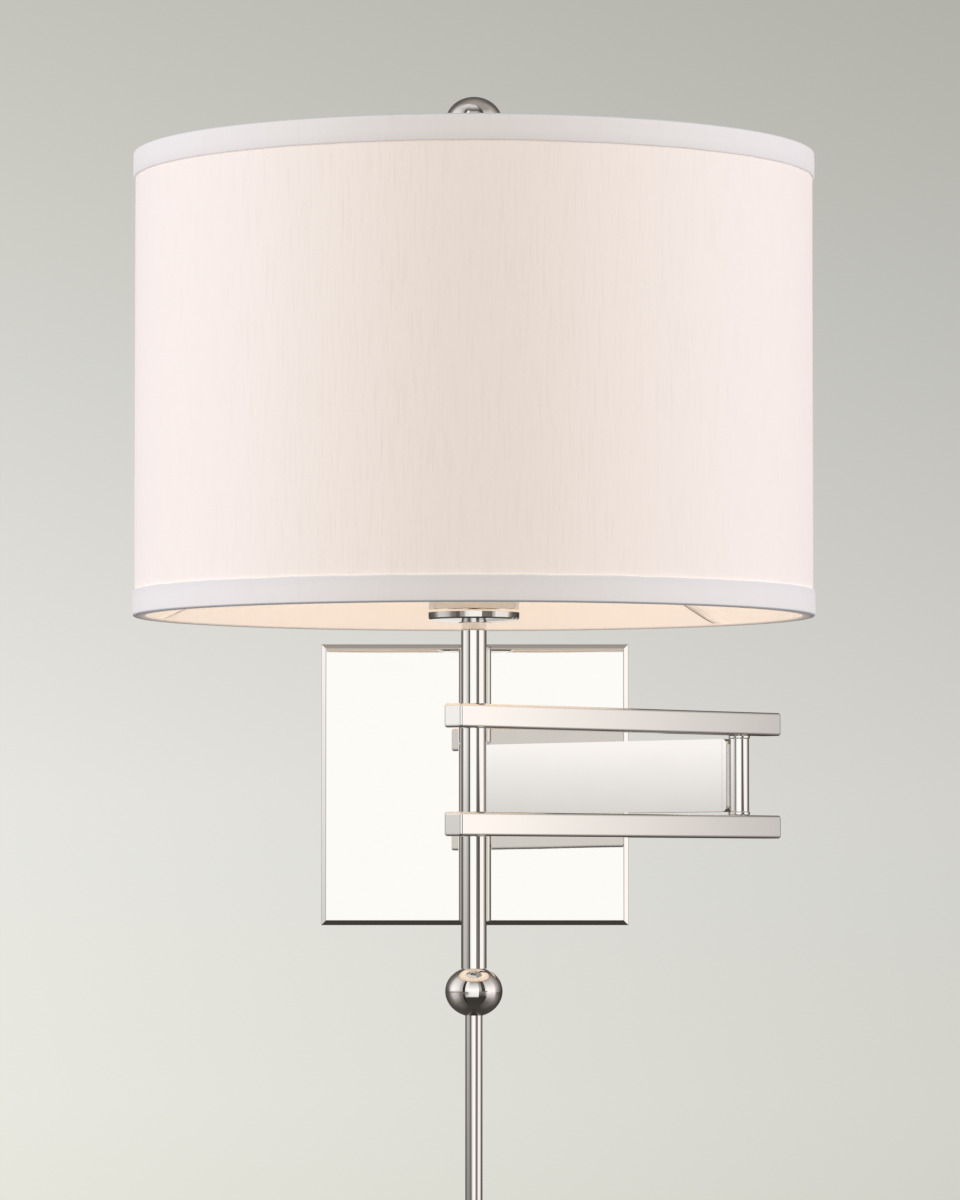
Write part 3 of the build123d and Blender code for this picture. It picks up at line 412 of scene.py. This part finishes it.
def pressed_board():
    """Brown fibre board, its fibres lying upright."""
    material, tree, shader, place = new_material("insulating_board")
    fibres = grain(tree, stretched(tree, place, scale=(700, 700, 160)), detail=5, roughness=0.7)
    colour = blended(tree, fibres, (0.50, 0.40, 0.29), (0.33, 0.25, 0.17))
    feed(tree, shader, Base_Color=colour, Roughness=mapped(tree, fibres, onto=(0.75, 0.9)),
         Normal=bumped(tree, fibres, strength=0.35, distance=0.0003))
    return material


def frosted_glass():
    """A lit bulb: white frost, brightest round the filament's height."""
    material, tree, shader, place = new_material("frosted_glass", Emission_Strength=1.05)
    low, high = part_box("bulb_globe")
    height = upward(tree, place)
    share = mapped(tree, height, onto=(0, 1), span=(low.z, high.z))
    frost = grain(tree, place, scale=500, detail=3)
    glow = ramped(tree, share, [(0.0, (0.30, 0.18, 0.08)), (0.35, (0.72, 0.52, 0.30)),
                                (0.65, (1.0, 0.90, 0.74)), (1.0, (0.92, 0.76, 0.56))])
    feed(tree, shader, Base_Color=blended(tree, frost, (0.95, 0.93, 0.88), (0.88, 0.85, 0.80)),
         Emission_Color=glow, Roughness=mapped(tree, frost, onto=(0.35, 0.55)),
         Normal=bumped(tree, frost, strength=0.1, distance=0.0002))
    return material


# ---- cloth -----------------------------------------------------------------------------------
def thread_pattern(tree):
    """Fine threads both ways, with long upright slubs: the height, the slubs and the threads."""
    cloth = stored(tree, "cloth", "Vector")
    upright = grain(tree, stretched(tree, cloth, scale=(1900, 150, 1)))
    across = grain(tree, stretched(tree, cloth, scale=(220, 1900, 1), offset=(3, 7, 0)))
    streaks = grain(tree, stretched(tree, cloth, scale=(620, 34, 1), offset=(11, 2, 0)),
                    detail=3, roughness=0.6)
    slubs = mapped(tree, streaks, onto=(0, 1), span=(0.50, 0.80))
    threads = maths(tree, "MULTIPLY", maths(tree, "ADD", upright, across), 0.5)
    return maths(tree, "ADD", threads, slubs), slubs, threads


def shade_cloth(name, colours, glows, relief):
    """Slubbed cloth with a painted glow, an even emission that stands for a lamp's light through it;
    the painted glow is dimmer on the slubs.

    colours and glows hold a pair each: between the slubs, and on them. Returns the material with
    its tree, its shader, and the sockets of its colour and its painted glow.
    """
    material, tree, shader, _ = new_material(
        name, Roughness=0.9, Sheen_Weight=0.12, Sheen_Roughness=0.5, Emission_Strength=1.0
    )
    height, slubs, threads = thread_pattern(tree)
    mixed = maths(tree, "ADD", maths(tree, "MULTIPLY", slubs, SLUB_SHARE),
                  maths(tree, "MULTIPLY", threads, THREAD_SHARE))
    colour = blended(tree, mixed, *colours)
    # painted glow: emission standing for the lamp's light through the cloth
    light = blended(tree, mixed, *glows)
    feed(tree, shader, Base_Color=colour, Emission_Color=light,
         Normal=bumped(tree, height, strength=relief, distance=0.00025))
    return material, tree, shader, colour, light


def white_fabric():
    """The drum's cloth, with a painted glow for the lamp's light through it."""
    colours = (0.91, 0.875, 0.85), (0.88, 0.835, 0.795)
    # painted glow for the lamp's light through the cloth: between the slubs, and dimmer on them
    glows = (0.36, 0.273, 0.20), (0.30, 0.223, 0.155)
    return shade_cloth("white_fabric", colours, glows, relief=0.35)[0]


def white_trim():
    """The tape on the rims, with a painted glow for the lamp's light through its band and for the
    bulb's light on its turned-in edge.

    In the crease under a folded end its colour is darkened as painted shade.
    """
    colours = (0.92, 0.90, 0.885), (0.88, 0.855, 0.83)
    # painted glows for the lamp's light through the band, between the slubs and on them
    glows = (0.24, 0.192, 0.15), (0.215, 0.168, 0.13)
    # black is no glow, the next colour the bulb's painted glow, the last painted shade for the crease
    black, bulb_light, crease_shade = (0.0, 0.0, 0.0), (0.355, 0.27, 0.20), (0.12, 0.085, 0.055)
    material, tree, shader, unshaded, light = shade_cloth("white_trim", colours, glows, relief=0.2)
    # painted glow: through stands for the lamp's light through the band, inside for the bulb's light on the
    # turned-in edge
    from_behind = blended(tree, stored(tree, "through"), black, light)
    from_bulb = blended(tree, stored(tree, "inside"), black, bulb_light)
    total = blended(tree, 1.0, from_behind, from_bulb, blend_type="ADD")
    # painted shade: the crease is darkened towards a dark brown
    colour = blended(tree, stored(tree, "crease"), unshaded, crease_shade)
    feed(tree, shader, Base_Color=colour, Emission_Color=total)
    return material


def white_liner():
    """Smooth styrene lining with a painted glow for the bulb's light, brightest at the bulb's height."""
    material, tree, shader, place = new_material("white_liner", Emission_Strength=1.0)
    height = upward(tree, place)
    share = mapped(tree, height, onto=(0, 1), span=(LINER_LOW.z, LINER_HIGH.z))
    ripple = grain(tree, stretched(tree, place, scale=(18, 18, 3)))
    # painted glow: emission that stands for the bulb's light on the lining
    glow = ramped(tree, share, [(0.0, (0.36, 0.27, 0.20)), (0.4, (0.50, 0.39, 0.30)),
                                (0.7, (0.47, 0.37, 0.28)), (1.0, (0.34, 0.25, 0.18))])
    colour = blended(tree, ripple, (0.93, 0.905, 0.85), (0.90, 0.87, 0.81))
    feed(tree, shader, Base_Color=colour, Emission_Color=glow,
         Roughness=mapped(tree, ripple, onto=(0.42, 0.55)),
         Normal=bumped(tree, ripple, strength=0.05, distance=0.0006))
    return material


def dress_frame():
    """Gives each CAD node the material of its slot in the record, and the plate its dished nickel."""
    materials = {
        "polished_nickel": polished_nickel(), "plated_steel": plated_steel(), "nylon": moulded_nylon(),
        "nickel_wire": drawn_wire(), "socket_brass": satin_brass(), "insulating_board": pressed_board(),
        "black_phenolic": black_phenolic(), "frosted_glass": frosted_glass(),
        "white_fabric": white_fabric(), "white_trim": white_trim(), "white_liner": white_liner(),
        "white_wire": white_enamel(),
    }
    for row in frame["record"]["subparts"]:
        for slot in frame["nodes"][row["node"]].material_slots:
            slot.material = materials[row["material_slot"]]
    dished = polished_nickel("plate_nickel", PLATE_DISH)
    for slot in frame["nodes"]["backplate"].material_slots:
        slot.material = dished
    return materials


# ---- shade pieces ----------------------------------------------------------------------------
def swept(name, profile, material, replaced, wobble, light=None):
    """A closed outline of (radius, height) points, carried round the shade's axis.

    wobble(angle, radius, height) returns how far a point moves outwards and upwards.
    light holds a pair per outline point for the painted glow: the share that stands for the lamp's
    light shining through the cloth there, and the share that stands for the bulb's light falling on it.
    """
    count = len(profile)
    vertices = []
    for step in range(AROUND):
        angle = 2 * math.pi * step / AROUND
        for radius, height in profile:
            out, up = wobble(angle, radius, height)
            vertices.append(on_shade(angle, radius + out, height + up))
    faces = []
    for step in range(AROUND):
        here, there = step * count, (step + 1) % AROUND * count
        for index in range(count):
            after = (index + 1) % count
            faces.append((here + index, there + index, there + after, here + after))
    mesh = bpy.data.meshes.new(name)
    mesh.from_pydata(vertices, [], faces)
    write_cloth(mesh, profile, light or [(1.0, 0.0)] * count)
    mesh.set_sharp_from_angle(angle=SHARP_ANGLE)
    return shade_piece(name, mesh, material, replaced)


def on_shade(angle, radius, height):
    """A point about the shade's axis; the angle starts at the wall side and turns towards +X."""
    return (AXIS_X + radius * math.sin(angle), AXIS_Y + radius * math.cos(angle), height)


def shade_piece(name, mesh, material, replaced=None):
    """Links a smooth mesh that rides with the lamp."""
    mesh.materials.append(material)
    mesh.shade_smooth()
    piece = bpy.data.objects.new(name, mesh)
    bpy.context.scene.collection.objects.link(piece)
    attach(piece, "lamp_arm")
    if replaced:
        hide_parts(replaced)
    return piece


def write_cloth(mesh, profile, light):
    """Stores where each corner of a swept mesh lies on the flat cloth, in metres, and its shares of painted
    glow.
    """
    count = len(profile)
    lengths = [0.0]
    for (r0, z0), (r1, z1) in zip(profile, profile[1:] + profile[:1]):
        lengths.append(lengths[-1] + math.hypot(r1 - r0, z1 - z0))
    mesh.attributes.new("cloth", "FLOAT_VECTOR", "CORNER")
    mesh.attributes.new("through", "FLOAT", "CORNER")
    mesh.attributes.new("inside", "FLOAT", "CORNER")
    cloth, through, inside = (mesh.attributes[name] for name in ("cloth", "through", "inside"))
    corner = 0
    for step in range(AROUND):
        for index in range(count):
            after = (index + 1) % count
            for column, row in ((step, index), (step + 1, index), (step + 1, index + 1), (step, index + 1)):
                arc = 2 * math.pi * FABRIC_RADIUS * column / AROUND
                cloth.data[corner].vector = (arc, lengths[row], 0)
                shares = light[after if row == index + 1 else index]
                through.data[corner].value, inside.data[corner].value = shares
                corner += 1


def waves(angle, height, size, across, upright, seed):
    """A smooth uneven offset that closes on itself round the shade."""
    point = Vector((across * math.sin(angle), across * math.cos(angle), upright * height + seed))
    return size * noise.noise(point)


def fabric_drum(materials):
    """The cloth, taut on its lining but slightly uneven."""
    outer, inner = FABRIC_RADIUS, FABRIC_RADIUS - FABRIC_THICKNESS
    low, high = FABRIC_LOW.z, FABRIC_HIGH.z
    heights = [low + (high - low) * row / FABRIC_ROWS for row in range(FABRIC_ROWS + 1)]
    profile = [(outer, z) for z in heights] + [(inner, z) for z in reversed(heights)]

    def wobble(angle, radius, height):
        if radius < outer:
            return 0.0, 0.0
        return waves(angle, height, *CLOTH_TENSION) + waves(angle, height, *CLOTH_SLUBS), 0.0

    cloth = materials["white_fabric"]
    return swept("drum_fabric", profile, cloth, "shade_fabric", wobble)


def liner_drum(materials):
    """The stiff lining that the cloth is glued to."""
    outer, inner = LINER_RADIUS, LINER_RADIUS - LINER_THICKNESS
    low, high = LINER_LOW.z, LINER_HIGH.z
    profile = [(outer, low), (outer, high), (inner, high), (inner, (low + high) / 2), (inner, low)]

    def wobble(angle, radius, height):
        return waves(angle, height, *LINER_RIPPLE), 0.0

    return swept("drum_liner", profile, materials["white_liner"], "shade_liner", wobble)


def quarter_turn(start_degrees, centre_radius, centre_height, size):
    """Points on a quarter circle of the outline, turning clockwise from a starting angle."""
    points = []
    for step in range(TURN_STEPS + 1):
        turn = math.radians(start_degrees - 90 * step / TURN_STEPS)
        points.append((centre_radius + size * math.cos(turn), centre_height + size * math.sin(turn)))
    return points


def trim_profile(rim, inward):
    """The folded tape's outline: down the outside, round the rim, up the inside and back."""
    face = TRIM_RADIUS - TRIM_THICKNESS
    lining = TRIM_INNER_RADIUS + TRIM_FOLD
    roll = TRIM_ROLL
    band_edge = [
        (face, TRIM_HEIGHT), (face + BAND_LIP, TRIM_HEIGHT),
        (TRIM_RADIUS - BAND_CORNER_IN, TRIM_HEIGHT - BAND_CORNER_DOWN),
        (TRIM_RADIUS, TRIM_HEIGHT - BAND_EDGE_DROP),
    ]
    band = [(TRIM_RADIUS, TRIM_HEIGHT * share) for share in BAND_ROWS]
    outer_turn = quarter_turn(0, TRIM_RADIUS - roll, roll, roll)
    inner_turn = quarter_turn(-90, TRIM_INNER_RADIUS + roll, roll, roll)
    hem = [
        (TRIM_INNER_RADIUS, TRIM_TURN_IN), (lining, TRIM_TURN_IN), (lining, roll + TRIM_FOLD),
        (lining + roll, TRIM_FOLD), (face - roll, TRIM_FOLD), (face, roll + TRIM_FOLD),
    ]
    outline = band_edge + band + outer_turn + inner_turn + hem
    return [(radius, rim + inward * height) for radius, height in outline]


def trim_light(profile, rim):
    """How much painted glow each point of the outline gets, as swept wants it.

    The band's painted glow, for the lamp's light through it, runs down to where the rim turns under,
    so the turn of the rim shows darker, and is dimmer at its cut edge. The turned-in edge faces the
    bulb and gets a painted glow for its light, and the rim's underside part of that.
    """
    shares = []
    for radius, height in profile:
        above_rim = abs(height - rim)
        outer = radius > TRIM_RADIUS - TRIM_THICKNESS - TRIM_ROLL
        inner = radius < TRIM_INNER_RADIUS + TRIM_ROLL / 2
        through = 1.0 if outer and above_rim > LIT_FROM else 0.0
        if outer and above_rim > TRIM_HEIGHT - BAND_EDGE_DROP:
            through = BAND_EDGE_LIGHT
        inside = 1.0 if inner and above_rim > UNDERSIDE_TO else 0.0
        if not outer and above_rim < UNDERSIDE_TO:
            inside = UNDERSIDE_LIGHT
        shares.append((through, inside))
    return shares


def trim_roll(name, replaced, rim, seed, materials, inward):
    """One rim's tape. inward is 1 where the shade lies above the rim, and -1 where it lies below."""
    profile = trim_profile(rim, inward)

    def wobble(angle, radius, height):
        on_face = radius > TRIM_RADIUS - TRIM_SKIN
        out = waves(angle, height, *BAND_RIPPLE, seed) if on_face else 0.0
        on_band = abs(height - rim) > TRIM_HEIGHT / 2 and radius > TRIM_INNER_RADIUS + TRIM_ROLL
        lift = waves(angle, 0.0, *BAND_EDGE_RIPPLE, seed + BAND_EDGE_SEED) if on_band else 0.0
        return min(out, 0.0), lift

    light = trim_light(profile, rim)
    return swept(name, profile, materials["white_trim"], replaced, wobble, light)


def crinkle(along, up, size, waves_along, waves_up, seed):
    """A smooth unevenness of a folded end, which dies out along its run."""
    return size * noise.noise(Vector((along * waves_along, up * waves_up, seed))) * (1 - along)


def lap_rows(lap, seed):
    """Rows of (angle, height, how far it stands in, share of the bulb's painted glow) up a folded end; what
    is short of a whole share is painted shade.
    """
    foot_angle, foot_height, top_angle, top_height, run = lap
    for row in range(LAP_ROWS + 1):
        up = row / LAP_ROWS
        height = BOTTOM_RIM + foot_height + (top_height - foot_height) * up
        start = foot_angle + (top_angle - foot_angle) * up**LAP_SLANT
        line = [(start - math.copysign(before, run), height, lift, share)
                for before, lift, share in LAP_SHADOW]
        for column in range(LAP_COLUMNS + 1):
            along = column / LAP_COLUMNS
            lift = LAP_THICKNESS * ((1 - along) ** LAP_EASE + crinkle(along, up, *LAP_PUCKER, seed))
            share = LAP_FOLD_LIGHT + (1 - LAP_FOLD_LIGHT) * min(1.0, along * LAP_BRIGHTENS)
            blotch = crinkle(along, up, *LAP_BLOTCHES, seed + LAP_BLOTCH_SEED)
            line.append((start + run * along, height, max(0.0, lift), min(1.0, share + blotch)))
        yield line


def tape_lap(index, lap, materials):
    """A slanting folded end of the tape, laid over its turned-in edge and easing into it."""
    vertices, faces, shares = [], [], []
    lines = list(lap_rows(lap, index * LAP_SEED_STEP))
    for line in lines:
        for degrees, height, lift, share in line:
            radius = TRIM_INNER_RADIUS + LAP_BURIED - lift
            vertices.append(on_shade(math.radians(degrees), radius, height))
            shares.append(share)
    wide = len(lines[0])
    for row in range(len(lines) - 1):
        for column in range(wide - 1):
            start = row * wide + column
            faces.append((start, start + 1, start + wide + 1, start + wide))
    mesh = bpy.data.meshes.new("tape_lap")
    mesh.from_pydata(vertices, [], faces)
    write_flat_cloth(mesh)
    # inside: the share of the bulb's painted glow; crease: the rest, painted shade that darkens the tape's
    # colour
    write_shares(mesh, "inside", shares)
    write_shares(mesh, "crease", [1 - share for share in shares])
    shade_piece(f"tape_lap_{index}", mesh, materials["white_trim"])


def write_flat_cloth(mesh):
    """Stores where each point lies on the cloth, seen from the front."""
    cloth = mesh.attributes.new("cloth", "FLOAT_VECTOR", "POINT")
    for index, vertex in enumerate(mesh.vertices):
        cloth.data[index].vector = (vertex.co.x, vertex.co.z, 0)


def write_shares(mesh, name, shares):
    """Stores a share for each point under a name."""
    layer = mesh.attributes.new(name, "FLOAT", "POINT")
    for index, share in enumerate(shares):
        layer.data[index].value = share


def back_seam(materials):
    """The glued lap where the cloth's two edges meet, on the wall side."""
    low, high = FABRIC_LOW.z + TRIM_HEIGHT, FABRIC_HIGH.z - TRIM_HEIGHT
    half = SEAM_WIDTH / 2 / FABRIC_RADIUS
    wander, waves_up, seed = SEAM_WANDER
    vertices, faces = [], []
    for row in range(SEAM_ROWS + 1):
        height = low + (high - low) * row / SEAM_ROWS
        for side in (0, 1):
            for column in range(SEAM_COLUMNS + 1):
                share = 2 * column / SEAM_COLUMNS - 1
                angle = half * share + wander * noise.noise(Vector((seed, height * waves_up, 0)))
                puff = SEAM_THICKNESS * (1 - share**SEAM_ROUNDING) if side else 0.0
                vertices.append(on_shade(angle, FABRIC_RADIUS - SEAM_SINK + puff, height))
    wide = SEAM_COLUMNS + 1
    for row in range(SEAM_ROWS):
        for column in range(SEAM_COLUMNS):
            start = row * 2 * wide + column
            over = start + 2 * wide
            faces.append((start + wide, over + wide, over + wide + 1, start + wide + 1))
            faces.append((start, start + 1, over + 1, over))
    mesh = bpy.data.meshes.new("back_seam")
    mesh.from_pydata(vertices, [], faces)
    write_flat_cloth(mesh)
    return shade_piece("back_seam", mesh, materials["white_fabric"])


# ---- studio ----------------------------------------------------------------------------------
def studio_world():
    """A pale backdrop for what the camera and the metal see, and a plain level of light for the rest."""
    world = bpy.data.worlds.new("studio")
    bpy.context.scene.world = world
    world.use_nodes = True
    tree = world.node_tree
    tree.nodes.clear()
    place = node(tree, "ShaderNodeTexCoord").outputs["Generated"]
    parts = node(tree, "ShaderNodeSeparateXYZ", {"Vector": place}).outputs
    height = mapped(tree, parts["Z"], onto=(0, 1), span=BACKDROP_SPAN)
    backdrop = ramped(tree, height, [(share, linear(*colour)) for share, colour in BACKDROP_BANDS])
    fall = mapped(tree, parts["X"], onto=SIDE_LEVELS, span=SIDE_SPAN)
    shaded = node(tree, "ShaderNodeVectorMath", {0: backdrop, 1: fall}, operation="MULTIPLY").outputs[0]
    rise = mapped(tree, parts["Z"], onto=RISE_LEVELS, span=RISE_SPAN)
    room = mapped(tree, parts["Y"], onto=ROOM_LEVELS, span=ROOM_SPAN)
    level = maths(tree, "MULTIPLY", rise, room)
    path = node(tree, "ShaderNodeLightPath").outputs
    seen = maths(tree, "MAXIMUM", maths(tree, "MAXIMUM", path["Is Camera Ray"], path["Is Glossy Ray"]),
                 path["Is Transmission Ray"])
    pale = node(tree, "ShaderNodeBackground", {"Color": shaded, "Strength": 1.0}).outputs[0]
    daylight = {"Color": (*DAYLIGHT, 1), "Strength": level}
    plain = node(tree, "ShaderNodeBackground", daylight).outputs[0]
    mixed = node(tree, "ShaderNodeMixShader", {0: seen, 1: plain, 2: pale}).outputs[0]
    node(tree, "ShaderNodeOutputWorld", {"Surface": mixed})


def dome_level(azimuth, row):
    """The dome's brightness at an azimuth, between the two nearest stops, in a row of DOME_LEVELS."""
    for before, after in zip(DOME_STOPS, DOME_STOPS[1:]):
        if before[0] <= azimuth <= after[0]:
            share = (azimuth - before[0]) / (after[0] - before[0])
            return before[row + 1] + share * (after[row + 1] - before[row + 1])
    return DOME_STOPS[-1][row + 1]


def dome_azimuths():
    """Every stop, with steps between stops that lie far apart."""
    found = []
    for before, after in zip(DOME_STOPS, DOME_STOPS[1:]):
        steps = max(1, math.ceil((after[0] - before[0]) / DOME_STEP))
        found += [before[0] + (after[0] - before[0]) * step / steps for step in range(steps)]
    return found + [DOME_STOPS[-1][0]]


def dome_colour(azimuth, level):
    """A card's colour: dark ones are brownish, and bright ones differ from side to side."""
    if level < DARK_BELOW:
        tint = DARK_TINT
    elif azimuth < -FRONT_WIDTH:
        tint = LEFT_TINT
    elif azimuth > FRONT_WIDTH:
        tint = RIGHT_TINT
    else:
        tint = FRONT_TINT
    return [level * share for share in tint] + [1.0]


def direction(azimuth, elevation):
    """From the object outwards: azimuth from the camera's side towards +X, and elevation, in degrees."""
    turn, rise = math.radians(azimuth), math.radians(elevation)
    level = math.cos(rise)
    return Vector((math.sin(turn) * level, -math.cos(turn) * level, math.sin(rise)))


def studio_dome():
    """Soft boxes, dark flags, table and ceiling round the object, which only reflections show."""
    vertices, faces, colours = [], [], []
    azimuths = dome_azimuths()
    for azimuth in azimuths:
        for row, elevation in enumerate(DOME_LEVELS):
            vertices.append(DOME_RADIUS * direction(azimuth, elevation))
            colours.append(dome_colour(azimuth, dome_level(azimuth, row)))
    rows = len(DOME_LEVELS)
    for column in range(len(azimuths) - 1):
        for row in range(rows - 1):
            start = column * rows + row
            faces.append((start, start + rows, start + rows + 1, start + 1))
    mesh = bpy.data.meshes.new("studio_dome")
    mesh.from_pydata(vertices, [], faces)
    glow = mesh.attributes.new("glow", "FLOAT_COLOR", "POINT")
    for index, colour in enumerate(colours):
        glow.data[index].color = colour
    mesh.materials.append(dome_material())
    dome = link_stage("studio_dome", mesh)
    dome.visible_camera = False
    dome.visible_diffuse = False
    dome.visible_transmission = False
    dome.visible_volume_scatter = False
    dome.visible_shadow = False


def dome_material():
    """Shines with the colour stored at each point of the dome."""
    material = bpy.data.materials.new("studio_dome")
    material.use_nodes = True
    material.cycles.emission_sampling = "NONE"
    tree = material.node_tree
    tree.nodes.clear()
    glow = stored(tree, "glow", "Color")
    shine = node(tree, "ShaderNodeEmission", {"Color": glow, "Strength": 1.0}).outputs[0]
    node(tree, "ShaderNodeOutputMaterial", {"Surface": shine})
    return material


def link_stage(name, mesh):
    """Links a mesh that belongs to the studio, not to the object."""
    thing = bpy.data.objects.new(name, mesh)
    bpy.context.scene.collection.objects.link(thing)
    thing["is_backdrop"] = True
    return thing


def floor_disc():
    """The floor's flat round mesh."""
    vertices = [(0, 0, FLOOR_HEIGHT)]
    for step in range(FLOOR_SEGMENTS):
        turn = 2 * math.pi * step / FLOOR_SEGMENTS
        vertices.append((FLOOR_RADIUS * math.cos(turn), FLOOR_RADIUS * math.sin(turn), FLOOR_HEIGHT))
    faces = [(0, 1 + step, 1 + (step + 1) % FLOOR_SEGMENTS) for step in range(FLOOR_SEGMENTS)]
    mesh = bpy.data.meshes.new("floor")
    mesh.from_pydata(vertices, [], faces)
    return mesh


def pale_floor():
    """A plain pale floor whose edge fades into the backdrop."""
    thing = link_stage("floor", floor_disc())
    material, tree, shader, place = new_material("floor", Roughness=0.85)
    cloud = grain(tree, place, scale=3, detail=3)
    feed(tree, shader, Base_Color=blended(tree, cloud, (0.70, 0.70, 0.66), (0.67, 0.67, 0.63)))
    reach = node(tree, "ShaderNodeVectorMath", {0: place}, operation="LENGTH").outputs["Value"]
    fade = mapped(tree, reach, onto=(0, 1), span=FLOOR_FADE)
    clear = node(tree, "ShaderNodeBsdfTransparent").outputs[0]
    mixed = node(tree, "ShaderNodeMixShader", {0: fade, 1: shader.outputs[0], 2: clear}).outputs[0]
    tree.links.new(mixed, tree.nodes["Material Output"].inputs["Surface"])
    thing.data.materials.append(material)
    thing.visible_diffuse = False
    thing.visible_glossy = False


def soft_lamp(name, azimuth, elevation, distance, size, power, colour):
    """A soft box aimed at the shade, unseen in reflections."""
    light = bpy.data.lights.new(name, "AREA")
    light.shape = "RECTANGLE"
    light.size, light.size_y = size
    light.energy = power
    light.color = colour
    away = direction(azimuth, elevation)
    lamp = bpy.data.objects.new(name, light)
    bpy.context.scene.collection.objects.link(lamp)
    lamp.location = LAMP_AIM + away * distance
    lamp.rotation_euler = (-away).to_track_quat("-Z", "Y").to_euler()
    lamp.visible_glossy = False
    lamp.visible_camera = False


def camera():
    """A long lens in front of the lamp, slightly below it."""
    data = bpy.data.cameras.new("camera")
    data.lens = CAMERA_LENS
    data.sensor_width = CAMERA_SENSOR
    data.clip_end = CAMERA_REACH
    thing = bpy.data.objects.new("camera", data)
    bpy.context.scene.collection.objects.link(thing)
    ahead = Vector((-CAMERA_YAW, math.cos(CAMERA_PITCH), math.sin(CAMERA_PITCH)))
    thing.location = CAMERA_PLACE
    thing.rotation_euler = ahead.to_track_quat("-Z", "Y").to_euler()
    bpy.context.scene.camera = thing


def main():
    """Dresses the frame, adds the shade's pieces and sets up the studio."""
    materials = dress_frame()
    fabric = fabric_drum(materials)
    liner_drum(materials)
    trims = [
        trim_roll("bottom_trim", "shade_bottom_trim", BOTTOM_RIM, BOTTOM_TRIM_SEED, materials, inward=1),
        trim_roll("top_trim", "shade_top_trim", TOP_RIM, TOP_TRIM_SEED, materials, inward=-1),
    ]
    seam = back_seam(materials)
    for index, lap in enumerate(LAPS):
        tape_lap(index, lap, materials)
    studio_world()
    studio_dome()
    pale_floor()
    for lamp in LAMPS:
        soft_lamp(*lamp)
    camera()
    bpy.context.scene.view_settings.view_transform = "Standard"


main()
visual_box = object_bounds()
boxes = {"cad": cad_box, "visual": visual_box}
{name: [list(corner) for corner in box] for name, box in boxes.items()}
